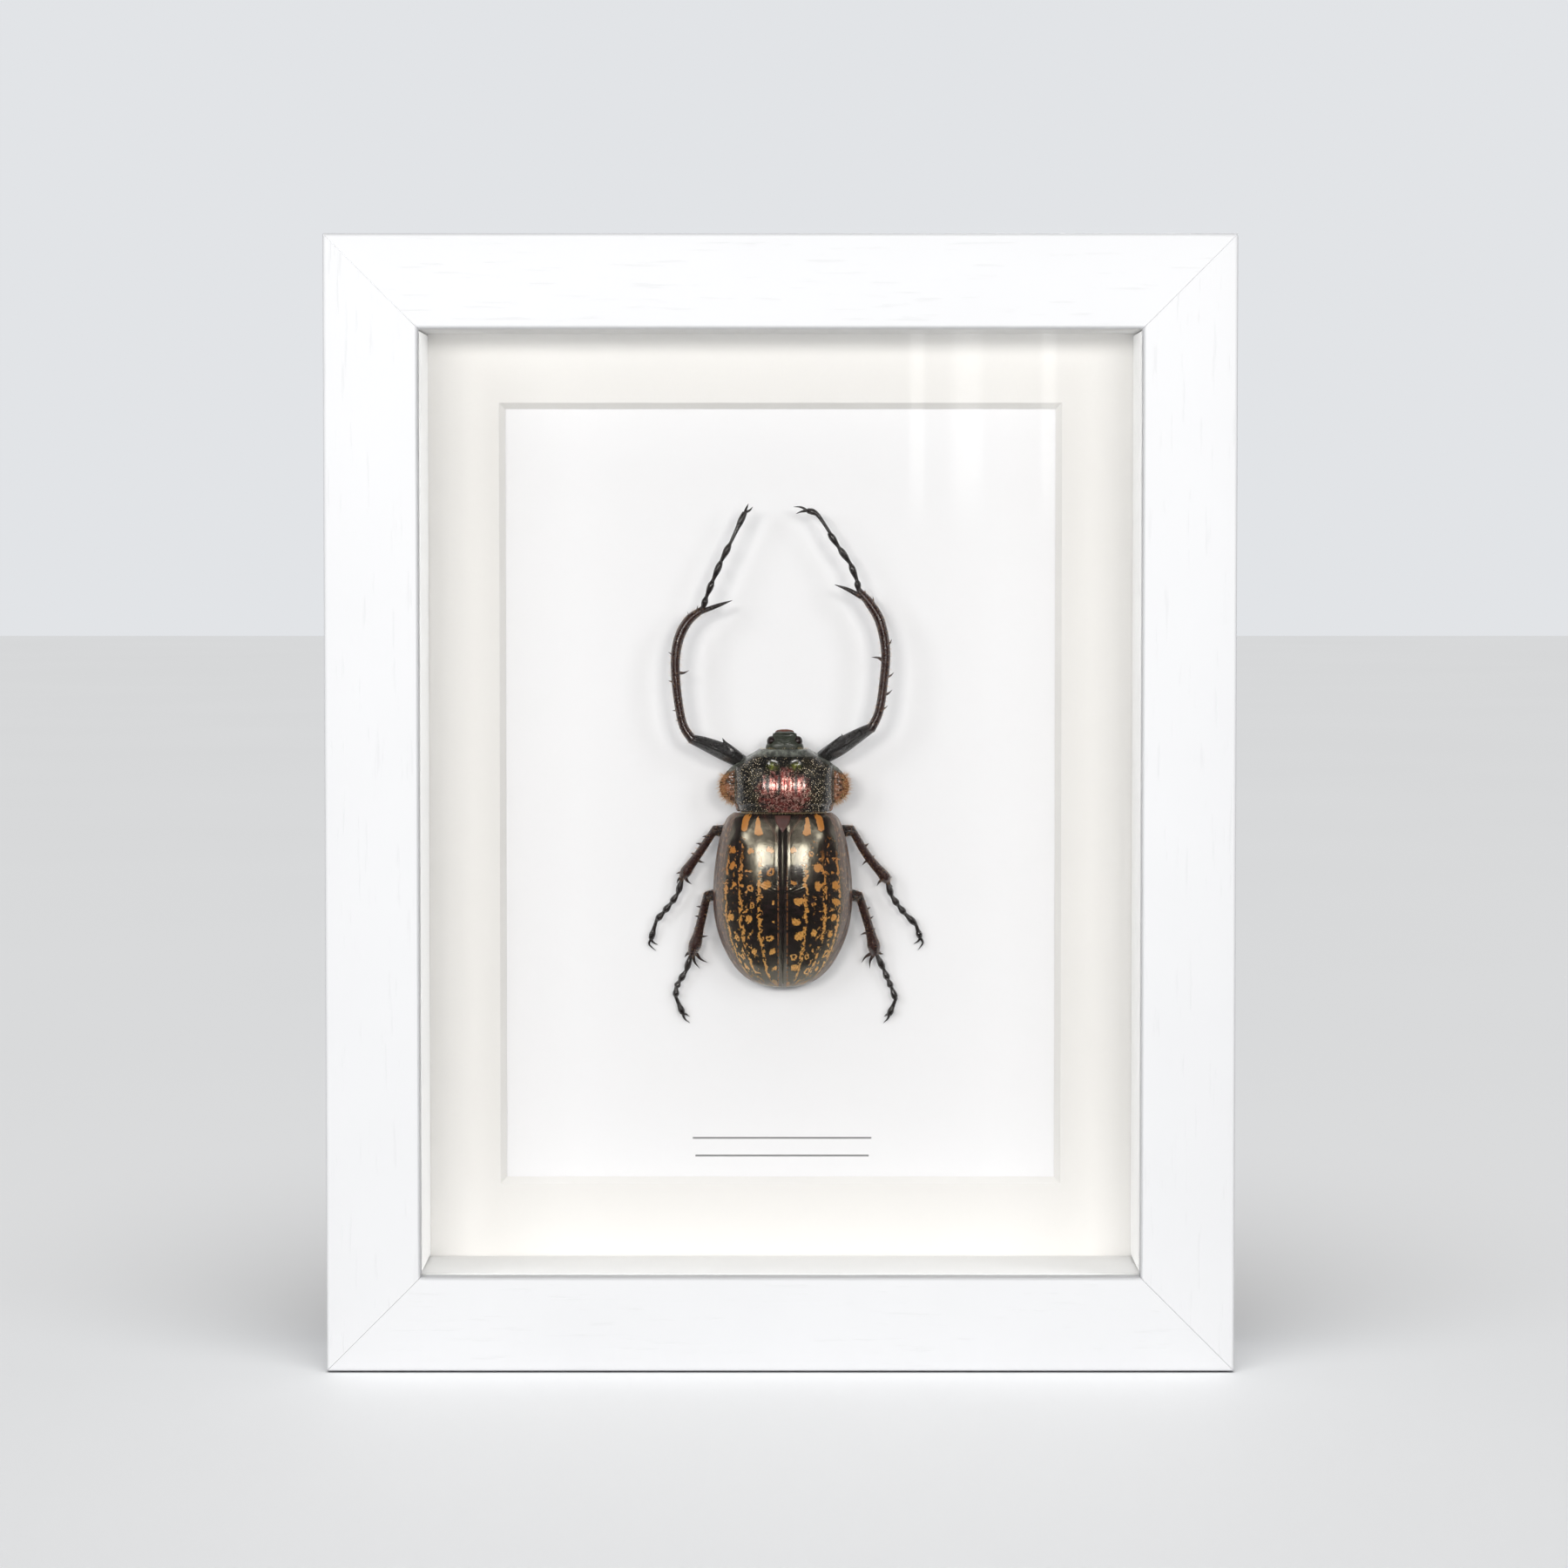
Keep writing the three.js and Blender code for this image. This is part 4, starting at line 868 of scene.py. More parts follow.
def pronotumMesh():
    y, width, crown = columnsOf(pronotumRows, 150)
    disc = np.minimum(pronotumSet["disc"], width * 0.93)
    angle = (math.pi / 2 * np.linspace(0, 1, 100))[None, :]
    flange, edge = pronotumSet["flange"], pronotumSet["edge"]
    x = disc * np.sin(angle) ** 0.9
    z = flange + (crown - flange) * np.cos(angle) ** 0.9
    out = np.linspace(0.06, 1, 22)[None, :]
    flapX = disc + (width - disc) * out
    flapZ = flange + (edge - flange) * out + 0.25 * np.sin(math.pi * out) * np.clip(width - disc, 0, 2) / 2
    topX, topZ = np.hstack([x, flapX]), np.hstack([z, flapZ])
    rings = []
    for side in (1, -1):
        px = side * topX
        rough = topZ.copy()
        rough -= 0.26 * bell(topX, 0, 1.0) * np.clip((y + 0.5) / 2, 0, 1)
        rough += 0.13 * (bell(topX, 2.0, 0.9) + bell(topX, 4.7, 1.0)) * bell(y, 6.2, 3.4)
        rough -= 0.6 * bell(topX, 2.7, 1.3) * bell(y, 10.6, 1.1)
        rough += 0.20 * bell(topX, disc, 0.35) * np.clip(width - disc - 0.6, 0, 1)
        rough += 0.16 * bell(y, 14.3, 0.5) + 0.12 * bell(y, 0.2, 0.35)
        pits = pitField(px + 40, y + 0 * px, 0.56, 0.21, 5)
        calm = np.clip(topX / 0.5, 0.35, 1) * np.clip((14.2 - y) / 1.2, 0.2, 1)
        rough -= (0.008 + pronotumSet["pit"] * np.clip((topX - 5) / 3, 0, 0.7)) * pits * calm
        teeth = 0.22 * np.abs(np.sin(y * 3.6)) * bell(y, 6, 3.4) * np.hstack([0 * x, out ** 6 + 0 * flapX])
        rings.append(gridOf(px + side * teeth, y, rough))
    under = np.linspace(0, 1, 24)[None, 1:]
    keelX = width * 0.97 * (1 - under)
    keelZ = edge - 0.7 - (edge - 0.7 - pronotumSet["sternum"]) * under ** 0.8 + 0 * width
    underX = np.hstack([width - 0.05, width - 0.35, keelX])
    underZ = np.hstack([edge - 0.35 + 0 * width, edge - 0.7 + 0 * width, keelZ])
    right = np.concatenate([rings[0], gridOf(underX, y, underZ)], axis=1)
    left = np.concatenate([rings[1], gridOf(-underX, y, underZ)], axis=1)
    ring = np.concatenate([right, left[:, 1:-1][:, ::-1]], axis=1)
    out, along = np.abs(ring[..., 0]), ring[..., 1]
    upper = ring[..., 2] > edge - 0.4
    front = pronotumRows[-1][0]
    fromEdge = np.minimum((front - along) / 1.4, (width - out) / 1.2 + np.clip(9.5 - along, 0, 9))
    marks = {
        "rim": np.clip(2.0 - 1.5 * fromEdge, 0, 1) * upper,
        "ridge": bell(out, disc + 0.05, 0.22) * np.clip(width - disc - 0.9, 0, 1) * upper,
        "lobe": np.clip((out - disc) / 0.5, 0, 1) * np.clip(10 - along, 0, 1),
        "dent": bell(out, 2.7, 0.9) * bell(along, 10.6, 0.75) * upper,
    }
    ring[..., 0] += pronotumSet["middle"]
    mesh = loftMesh("pronotum", ring)
    for name, values in marks.items():
        writeField(mesh, name, values)
    return mesh


def buildPronotum():
    mesh = pronotumMesh()
    settle(linked("thorax_shield", mesh, pronotumFinish()), "pronotum_shell", "pronotum")


headRows = [  # from the rear forward: y, half-width, crown height, underside height
    (13.6, 4.3, 12.0, 6.0),
    (14.6, 4.35, 12.1, 6.2),
    (15.35, 4.15, 12.1, 6.4),
    (15.95, 3.72, 11.9, 6.8),
    (16.65, 3.1, 11.6, 7.4),
    (17.35, 2.8, 11.3, 8.2),
    (17.85, 2.5, 11.05, 8.8),
    (18.2, 2.05, 10.8, 9.3),
    (18.4, 1.5, 10.5, 9.7),
]
headSet = {
    "middle": 0.45,
    "eye": (2.98, 16.15, 10.5),      # mm from the middle, along and up
    "eyeRadius": 1.12,
    "eyeStretch": (0.95, 1.05, 0.95),
    "hornFoot": (2.45, 17.3, 10.7),
    "hornTip": (2.6, 18.05, 11.0),
    "hornRadius": 0.36,
    "lip": (0, 18.25, 9.9),
    "lipHalf": (2.1, 0.6, 0.7),
}


def headPoint(side, place):
    out, along, up = place
    return headSet["middle"] + side * out, along, up


def headMesh():
    y, half, top, bottom = columnsOf(headRows, 90)
    middle = (top + bottom) / 2 + 0.6
    angle = circleOf(160)
    sin, cos = np.sin(angle), np.cos(angle)
    x = half * squared(sin, 0.8)
    z = middle + np.where(cos > 0, top - middle, middle - bottom) * squared(cos, 0.8)
    upper = cos > 0.1
    lift = 0.24 * bell(y, 18.0, 0.22) - 0.22 * bell(y, 17.35, 0.4) * bell(x, 0, 1.8)
    lift = lift + 0.28 * bell(y - 0.45 * np.abs(x), 15.9, 0.35) * bell(x, 0, 2.6)
    lift = lift - 0.05 * pitField(x + 30, y + 0 * x, 0.42, 0.16, 9)
    z = z + np.where(upper, lift, 0)
    return loftMesh("head", gridOf(x + headSet["middle"], y, z))


def ballMesh(name, centre, radius, stretch):
    work = bmesh.new()
    bmesh.ops.create_uvsphere(work, u_segments=40, v_segments=24, radius=1)
    work.verts.index_update()
    places = [[c + r * radius * s for c, r, s in zip(centre, vert.co, stretch)] for vert in work.verts]
    # The sphere's faces come in another order each run, so they are sorted, each from its lowest corner.
    faces = []
    for face in work.faces:
        corners = [vert.index for vert in face.verts]
        start = corners.index(min(corners))
        faces.append(corners[start:] + corners[:start])
    work.free()
    return faceOut(plainMesh(name, toWorld(places).tolist(), sorted(faces)))


def limbRings(points, radii, sides, steps, flat=1.0, keel=0.0, power=2.0):
    # Rings across a path. A keel raises a ridge along the top, and a low power makes the section angular.
    centres = catmull(points, steps)
    spans = catmull(np.asarray(radii, float)[:, None], steps)[:, 0]
    tangents = np.gradient(centres, axis=0)
    tangents /= np.linalg.norm(tangents, axis=1)[:, None]
    side = np.cross(tangents, (0, 0, 1))
    side /= np.linalg.norm(side, axis=1)[:, None]
    rise = np.cross(side, tangents)
    angle = np.linspace(0, 2 * math.pi, sides, endpoint=False)
    reach = (np.abs(np.cos(angle)) ** power + np.abs(np.sin(angle)) ** power) ** (-1 / power)
    reach = reach * (1 + keel * bell(angle, math.pi / 2, 0.3))
    across = (reach * np.cos(angle))[None, :, None] * side[:, None, :]
    above = (reach * np.sin(angle) * flat)[None, :, None] * rise[:, None, :]
    return centres[:, None, :] + spans[:, None, None] * (across + above)


def limbMesh(name, points, radii, sides=20, steps=24, **shape):
    return loftMesh(name, limbRings(points, radii, sides, steps, **shape))


def spineMesh(base, tip, radius, bend=0.12):
    base, tip = np.asarray(base, float), np.asarray(tip, float)
    way = tip - base
    sag = np.cross(way, (0, 0, 1)) * bend
    points = [base, base + way * 0.5 + sag, tip]
    return limbMesh("spine", points, (radius, radius * 0.55, 0.03), 10, 9)


def buildHead():
    horns = []
    for side in (-1, 1):
        base, tip = headPoint(side, headSet["hornFoot"]), headPoint(side, headSet["hornTip"])
        horns.append(spineMesh(base, tip, headSet["hornRadius"], 0.0))
    shell = plainShellFinish("headShell", (0.006, 0.008, 0.005), (0.055, 0.064, 0.044), 0.24, 900)
    skull = linked("skull", joinedMesh("skull", [headMesh(), *horns]), shell)
    settle(skull, "head_shell", "head")
    lip = plainShellFinish("lipShell", (0.05, 0.012, 0.010), (0.22, 0.07, 0.045), 0.3, 1500)
    labrum = ballMesh("labrum", headPoint(1, headSet["lip"]), 1.0, headSet["lipHalf"])
    settle(linked("lip", labrum, lip), "head_shell")
    eyeFinish = plainShellFinish("eyeFinish", (0.004, 0.002, 0.002), (0.016, 0.004, 0.003), 0.1, 300)
    for side, name in ((-1, "left"), (1, "right")):
        ball = ballMesh("eye", headPoint(side, headSet["eye"]), headSet["eyeRadius"], headSet["eyeStretch"])
        settle(linked("eye_" + name, ball, eyeFinish), "head_shell")


scutellumRows = [  # from the front back: y, half-width, crown height
    (-0.6, 1.8, 13.6),
    (-1.4, 1.7, 13.9),
    (-2.4, 1.35, 14.2),
    (-3.4, 0.75, 14.5),
    (-4.3, 0.08, 14.65),
]


def buildScutellum():
    y, half, top = columnsOf(scutellumRows, 40)
    angle = circleOf(48)
    x = half * squared(np.cos(angle), 0.6)
    z = top - 0.1 + np.where(np.sin(angle) > 0, 0.22, 0.7) * np.sin(angle)
    mesh = loftMesh("scutellum", gridOf(x, y, z))
    shell = plainShellFinish("scutellumShell", (0.020, 0.005, 0.003), (0.12, 0.024, 0.014), 0.4)
    settle(linked("scutellum_plate", mesh, shell), "leg_shell", "scutellum")


def buildHindBody():
    # Thorax and abdomen, with grooves between the belly plates.
    y, width, crown, edge = columnsOf(bodyRows[:-1], 170)
    inset = 0.85
    angle = circleOf(140)
    sin, cos = np.sin(angle), np.cos(angle)
    belly = 0.35 + np.clip((-y - 31) / 9, 0, 1) ** 2 * 3.6
    middle = edge - 0.8
    x = (width - inset) * squared(sin, 0.85)
    reach = np.where(cos > 0, crown - inset - middle, middle - belly)
    z = middle + reach * squared(cos, 0.85)
    groove = 0.16 * np.clip(np.abs(np.sin((y + 19) * math.pi / 3.6)) * -8 + 1, 0, 1) * (y < -18)
    groove = groove + 0.2 * bell(y, -9, 0.25) + 0.2 * bell(y, -17.5, 0.25)
    shrink = 1 - groove / 8 * np.clip(-cos + 0.3, 0, 1)
    mesh = loftMesh("belly", gridOf(x * shrink, y * 0.985 - 0.2, middle + (z - middle) * shrink))
    shell = plainShellFinish("bodyShell", (0.010, 0.007, 0.006), (0.045, 0.028, 0.020), 0.35)
    settle(linked("belly", mesh, shell), "body_shell", "hind_body")


buildElytra()
buildPronotum()
buildHead()
buildScutellum()
buildHindBody()
print("beetle body built")


# Legs

legSet = {
    "voxel": 0.11,             # mm
    "femurFlat": 0.85,
    "femurKeel": 0.16,
    "femurPower": 1.45,
    "tibiaPower": 1.7,
    "segment": (0.38, 0.50, 0.74, 0.76, 0.44),
    "clawSegment": (0.38, 0.42, 0.52, 0.76, 0.6),
    "segmentRoot": 0.12,
    "tones": {"femur": 0.0, "tibia": 1.0, "tarsus": 0.15},
    "claw": (0.34, 0.24, 0.04),
    "spur": (0.62, 0.46, 0.05),
    "fin": (0.9, 0.95, 0.16),
    "femur": {"fore": (1.3, 1.75, 1.95, 1.6, 1.1), "mid": (1.5, 1.5, 1.15), "hind": (1.6, 1.6, 1.2)},
    "tibia": {
        "fore": (1.1, 1.02, 1.02, 1.08, 1.16, 1.1, 0.8),
        "mid": (0.85, 0.95, 1.0, 1.15, 1.32, 0.8),
        "hind": (0.9, 1.0, 1.05, 1.2, 1.5, 0.9),
    },
}

legPlan = {
    "fore_leg_left": {
        "femur": (
            (-6, 9, 6.2), (-10, 11.7, 8.2), (-13.8, 13.8, 9.6), (-17.6, 15.5, 10.3), (-21, 16.7, 10.5),
        ),
        "tibia": (
            (-20.4, 16.2, 10.5), (-22.7, 20, 10.5), (-24, 27.2, 10.3), (-24.4, 34.4, 10.1),
            (-23.5, 39.7, 9.8), (-21.3, 43.7, 9.5), (-18.2, 46.1, 9.2),
        ),
        "spines": (
            ((-13.2, 14.2, 9.8), (-13.7, 16.8, 9.8), 0.85), ((-24.4, 34.4, 10), (-26.0, 36.4, 10), 0.42),
            ((-24.2, 28.6, 10), (-26, 29.9, 10), 0.42), ((-23.4, 22.5, 10), (-25.1, 23.1, 10), 0.42),
            ((-22.8, 20.2, 10), (-24.4, 20.8, 10), 0.38), ((-24, 31.7, 10), (-21.3, 32.2, 10), 0.5),
            ((-20.4, 44.8, 9.4), (-19.3, 47, 9.3), 0.42), ((-21.8, 43, 9.5), (-21.6, 45.5, 9.5), 0.38),
        ),
        "fin": ((-9.4, 12.2, 8.6), (-11.6, 14.0, 9.4), (-13.5, 16.3, 9.8)),
        "spur": ((-18.9, 45.4, 9.2), (-14.6, 47.0, 9), (-11.5, 48.1, 9)),
        "tarsus": (
            (-18.3, 45.9, 9.2), (-17.4, 48.8, 9.2), (-15.9, 52.6, 9.3),
            (-14, 57, 9.4), (-12, 60.9, 9.3), (-8.6, 68.1, 8.5),
        ),
        "claws": (((-8.2, 69.2, 8.3), (-7.8, 70.1, 7.9)), ((-7.5, 68.6, 8.3), (-6.8, 69.4, 7.9))),
    },
    "fore_leg_right": {
        "femur": (
            (6.4, 9.6, 6.2), (9.4, 12.4, 8.2), (13.2, 14.9, 9.6), (17.1, 17.4, 10.3), (20.4, 19.3, 10.5),
        ),
        "tibia": (
            (19.9, 18.6, 10.5), (21.9, 22.9, 10.5), (23, 30, 10.3), (23.4, 36.6, 10.1),
            (22.2, 43.1, 9.8), (19.8, 47.4, 9.5), (17.3, 50.3, 9.2),
        ),
        "spines": (
            ((13.4, 15.4, 9.8), (13.4, 17.8, 9.8), 0.85), ((23.2, 37.4, 10), (24.8, 39.3, 10), 0.42),
            ((23.2, 30.6, 10), (25.3, 31.8, 10), 0.42), ((22.8, 26.6, 10), (24.9, 27.8, 10), 0.42),
            ((22.2, 23.4, 10), (23.9, 24.2, 10), 0.38), ((23, 34.3, 10), (20.2, 35.2, 10), 0.5),
            ((18.4, 48.8, 9.4), (18.7, 50.5, 9.3), 0.42), ((20.2, 46.8, 9.5), (20.5, 49, 9.5), 0.38),
        ),
        "fin": ((9.0, 12.8, 8.6), (11.2, 14.8, 9.4), (13.3, 17.3, 9.8)),
        "spur": ((17.9, 48.9, 9.2), (14.8, 50.6, 9), (11.8, 51.7, 9)),
        "tarsus": (
            (17.3, 50.1, 9.2), (16.9, 52.6, 9.2), (15.4, 56.4, 9.3),
            (12.8, 60.1, 9.4), (10.5, 63.5, 9.3), (5.6, 68.5, 8.3),
        ),
        "bend": (7.9, 67.6, 8.9),
        "claws": (((4.2, 69.3, 8.1), (2.5, 69.4, 7.8)), ((4.3, 68.3, 7.9), (3.0, 67.8, 7.2))),
    },
    "mid_leg_left": {
        "femur": ((-8, -6, 3.4), (-12.4, -4.9, 5), (-16.0, -4.5, 6.2)),
        "tibia": ((-15.3, -4.0, 6.2), (-19, -9.6, 5.4), (-21.6, -13.3, 4.5), (-23.1, -15.6, 4.1)),
        "spines": (
            ((-16.8, -6.2, 6), (-18.4, -6, 6), 0.5), ((-18.2, -8.2, 5.7), (-19.9, -7.5, 5.8), 0.5),
            ((-19.6, -10.6, 5.2), (-21.1, -9.8, 5.2), 0.5), ((-22.6, -14.6, 4.2), (-24.4, -14.6, 4), 0.55),
            ((-19.8, -11, 5.2), (-17.9, -12, 5), 0.5), ((-22.4, -15.2, 4), (-20.9, -17.1, 3.5), 0.55),
            ((-23.2, -15.4, 4), (-24.3, -17, 3.5), 0.45),
        ),
        "tarsus": (
            (-23, -15.6, 3.9), (-24.1, -19.3, 3.3), (-25.6, -21.5, 2.9),
            (-27.3, -23.6, 2.5), (-29, -25.5, 2.1), (-30.3, -29.9, 1.5),
        ),
        "claws": (((-30.7, -31.2, 1.3), (-29.2, -32.7, 0.9)), ((-29.8, -30.7, 1.2), (-28.8, -31.3, 0.8))),
    },
    "mid_leg_right": {
        "femur": ((8, -6, 3.4), (12.4, -4.9, 5), (16.3, -4.5, 6.2)),
        "tibia": ((15.6, -4.0, 6.2), (19.3, -10.3, 5.4), (22.9, -14.7, 4.5), (24.1, -16.5, 4.1)),
        "spines": (
            ((16.6, -6, 6), (17.8, -5.7, 6), 0.5), ((18.2, -8.2, 5.7), (19.7, -7.5, 5.8), 0.5),
            ((19.9, -11, 5.2), (21.0, -10.3, 5.2), 0.5), ((23.4, -15.2, 4.2), (25.1, -15.4, 4), 0.55),
            ((20, -11.4, 5.2), (18.2, -12.6, 5), 0.5), ((23.2, -15.9, 4), (21.6, -17.5, 3.5), 0.55),
            ((24.2, -16.2, 4), (25.3, -17.7, 3.5), 0.45),
        ),
        "tarsus": (
            (23.9, -16.4, 3.9), (25, -19.8, 3.3), (26.5, -22, 2.9),
            (28.1, -24, 2.5), (30.6, -26.5, 2.1), (31.6, -29.5, 1.5),
        ),
        "claws": (((32.2, -30.9, 1.3), (31.1, -32.6, 0.9)), ((31.2, -30.4, 1.2), (30.2, -31.1, 0.8))),
    },
    "hind_leg_left": {
        "femur": ((-8, -15, 3), (-13, -18.6, 4.4), (-17.6, -19.8, 5.9)),
        "tibia": ((-17.2, -19.1, 5.9), (-18.8, -25.9, 4.6), (-19.7, -29.6, 3.8), (-20.9, -33.4, 3.2)),
        "spines": (
            ((-18.2, -22.6, 5), (-19.8, -22.1, 5), 0.5), ((-18.7, -24.9, 4.7), (-20.2, -24.3, 4.8), 0.5),
            ((-19.2, -27.6, 4.3), (-20.4, -27.1, 4.3), 0.45), ((-19.4, -28.6, 4.2), (-17.1, -28.9, 4.2), 0.5),
            ((-21.2, -32.8, 3.2), (-22.5, -34, 3), 0.55), ((-20.6, -33, 3.1), (-19.1, -36.6, 2.5), 0.5),
            ((-20, -32.8, 3.1), (-17.3, -35.2, 2.8), 0.5),
        ),
        "tarsus": (
            (-21, -33.2, 3.1), (-22.2, -37.1, 2.6), (-23.7, -39.5, 2.3),
            (-24.5, -41, 2.1), (-24.6, -43.2, 1.9), (-23, -47.1, 1.5),
        ),
        "claws": (((-22.6, -48.3, 1.3), (-21.4, -49.4, 0.9)), ((-22.3, -47.3, 1.2), (-21.5, -47.9, 0.8))),
    },
    "hind_leg_right": {
        "femur": ((8, -15, 3), (13.2, -18.6, 4.4), (17.9, -19.9, 5.9)),
        "tibia": ((17.4, -19.2, 5.9), (19.5, -25.9, 4.6), (20.6, -30, 3.8), (21.3, -33.4, 3.2)),
        "spines": (
            ((18.6, -22.7, 5), (20.1, -22.2, 5), 0.5), ((19.2, -24.9, 4.7), (20.8, -24.3, 4.8), 0.5),
            ((19.9, -27.6, 4.3), (21.3, -27.1, 4.3), 0.5), ((20, -28.4, 4.2), (17.8, -28.7, 4.2), 0.5),
            ((21.8, -32.6, 3.2), (23.1, -33.2, 3), 0.55), ((20.6, -33, 3.1), (18.1, -35.3, 2.8), 0.5),
            ((21, -33.2, 3.1), (20, -36.6, 2.5), 0.5),
        ),
        "tarsus": (
            (21.5, -33.2, 3.1), (23.2, -36.8, 2.6), (24.2, -39.2, 2.3),
            (25, -41, 2.1), (26, -43.8, 1.9), (24.5, -47.4, 1.5),
        ),
        "claws": (((24.2, -48.3, 1.3), (23.2, -49.4, 0.9)), ((24, -47.4, 1.2), (23.4, -47.9, 0.8))),
    },
}


def tarsusMeshes(plan):
    # Short segments, each narrow at its root and swollen at its end.
    joints = [np.asarray(point, float) for point in plan["tarsus"]]
    meshes = []
    for k in range(len(joints) - 1):
        start, end = joints[k], joints[k + 1]
        last = k == len(joints) - 2
        root = start + (start - end) * legSet["segmentRoot"]
        middle = np.asarray(plan["bend"], float) if last and "bend" in plan else (start + end) / 2
        radii = legSet["clawSegment"] if last else legSet["segment"]
        meshes.append(limbMesh("segment", catmull([root, middle, end], 5), radii, 14, 14))
    return meshes


def fusedMesh(meshes):
    # Melts overlapping limbs into one skin.
    rough = joinedMesh("rough", meshes)
    source = placed("rough", rough)
    melt = source.modifiers.new("melt", "REMESH")
    melt.mode = "VOXEL"
    melt.voxel_size = legSet["voxel"] * mm
    soften = source.modifiers.new("soften", "SMOOTH")
    soften.factor = 0.5
    soften.iterations = 3
    evaluated = source.evaluated_get(bpy.context.evaluated_depsgraph_get())
    fused = bpy.data.meshes.new_from_object(evaluated)
    bpy.data.objects.remove(source)
    bpy.data.meshes.remove(rough)
    return fused


def writeTone(mesh, plan):
    # Each point takes the tones of the limbs near it.
    places = np.vstack([toWorld(catmull(plan[limb], 40)) for limb in legSet["tones"]])
    tones = np.repeat(list(legSet["tones"].values()), 40)
    verts = np.empty(len(mesh.vertices) * 3)
    mesh.vertices.foreach_get("co", verts)
    verts = verts.reshape(-1, 3)
    values = np.empty(len(verts))
    for start in range(0, len(verts), 4000):
        block = verts[start:start + 4000]
        distance = np.linalg.norm(block[:, None, :] - places[None, :, :], axis=2)
        weight = 1 / (distance / mm + 0.2) ** 6
        values[start:start + 4000] = (weight * tones).sum(axis=1) / weight.sum(axis=1)
    writeField(mesh, "tone", values)


def legMesh(kind, plan):
    femur = {"flat": legSet["femurFlat"], "keel": legSet["femurKeel"], "power": legSet["femurPower"]}
    bodies = [
        limbMesh("femur", plan["femur"], legSet["femur"][kind], 28, 40, **femur),
        limbMesh("tibia", plan["tibia"], legSet["tibia"][kind], 24, 90, power=legSet["tibiaPower"]),
        *tarsusMeshes(plan),
    ]
    if "fin" in plan:
        bodies.append(limbMesh("fin", plan["fin"], legSet["fin"], 16, 20))
    fused = fusedMesh(bodies)
    points = [spineMesh(*spine) for spine in plan["spines"]]
    end = plan["tarsus"][-1]
    points += [limbMesh("claw", (end, *claw), legSet["claw"], 10, 14) for claw in plan["claws"]]
    if "spur" in plan:
        points.append(limbMesh("spur", plan["spur"], legSet["spur"], 12, 20))
    mesh = joinedMesh("leg", [fused, *points])
    writeTone(mesh, plan)
    return mesh


def buildLegs():
    shell = legFinish()
    for name, plan in legPlan.items():
        kind = name.split("_")[0]
        piece = linked(name.replace("leg", "limb"), legMesh(kind, plan), shell, 60)
        settle(piece, "leg_shell", name)
        print(name, "has", len(piece.data.polygons), "faces")


buildLegs()
print("legs built")


# Bristles

bristleSet = {
    "lobe": {"density": 24, "length": 1.9, "radius": 0.05, "spread": 0.9, "seed": 3},
    "fringe": {"density": 34, "length": 0.75, "radius": 0.035, "spread": 0.5, "seed": 5},
    "leg": {"density": 3.0, "length": 1.1, "radius": 0.03, "spread": 0.6, "seed": 8},
    "fringes": (  # row of the pronotum, share of its half-width, drop, shift, way, width
        (0, 0.93, 0.15, 0.1, (0, -1.0, 0.6), 0.4),
        (-1, 0.95, 0.1, -0.05, (0, 1.0, 0.4), 0.3),
    ),
    "sleeve": 0.92,  # of a leg's radii
}


def bristleTree(finish):
    # Thin cones grow from the faces of a base, along its normals and a little astray.
    tree = bpy.data.node_groups.new("bristles", "GeometryNodeTree")
    sockets = dict.fromkeys(("Base", "Density", "Length", "Radius", "Spread", "Seed"), "Float")
    for name, kind in {**sockets, "Base": "Geometry", "Seed": "Int"}.items():
        tree.interface.new_socket(name, in_out="INPUT", socket_type="NodeSocket" + kind)
    tree.interface.new_socket("Bristles", in_out="OUTPUT", socket_type="NodeSocketGeometry")

    def add(kind, settings=None, **ins):
        node = tree.nodes.new(kind)
        for key, value in (settings or {}).items():
            setattr(node, key, value)
        for key, value in ins.items():
            slot = node.inputs[key.replace("_", " ")]
            if isinstance(value, bpy.types.NodeSocket):
                tree.links.new(value, slot)
            else:
                slot.default_value = value
        return node

    given = add("NodeGroupInput").outputs
    scatter = add(
        "GeometryNodeDistributePointsOnFaces",
        Mesh=given["Base"], Density=given["Density"], Seed=given["Seed"],
    )
    astray = add("FunctionNodeRandomValue", {"data_type": "FLOAT_VECTOR"}, Seed=given["Seed"])
    astray.inputs[0].default_value = (-1, -1, -1)
    reach = add("ShaderNodeVectorMath", {"operation": "SCALE"}, Scale=given["Spread"])
    tree.links.new(astray.outputs[0], reach.inputs[0])
    way = add("ShaderNodeVectorMath", {"operation": "ADD"})
    tree.links.new(scatter.outputs["Normal"], way.inputs[0])
    tree.links.new(reach.outputs[0], way.inputs[1])
    turn = add("FunctionNodeAlignRotationToVector", {"axis": "Z"}, Vector=way.outputs[0])
    size = add("FunctionNodeRandomValue", {"data_type": "FLOAT"}, Seed=given["Seed"])
    for slot, value in ((2, 0.45), (3, 1.0)):
        size.inputs[slot].default_value = value
    cone = add(
        "GeometryNodeMeshCone",
        Vertices=5, Side_Segments=3, Radius_Bottom=given["Radius"], Depth=given["Length"],
    )
    grown = add(
        "GeometryNodeInstanceOnPoints",
        Points=scatter.outputs["Points"], Instance=cone.outputs["Mesh"], Rotation=turn.outputs[0],
    )
    tree.links.new(size.outputs[1], grown.inputs["Scale"])
    real = add("GeometryNodeRealizeInstances", Geometry=grown.outputs[0])
    coloured = add("GeometryNodeSetMaterial", Geometry=real.outputs[0], Material=finish)
    done = add("NodeGroupOutput")
    tree.links.new(coloured.outputs[0], done.inputs[0])
    return tree


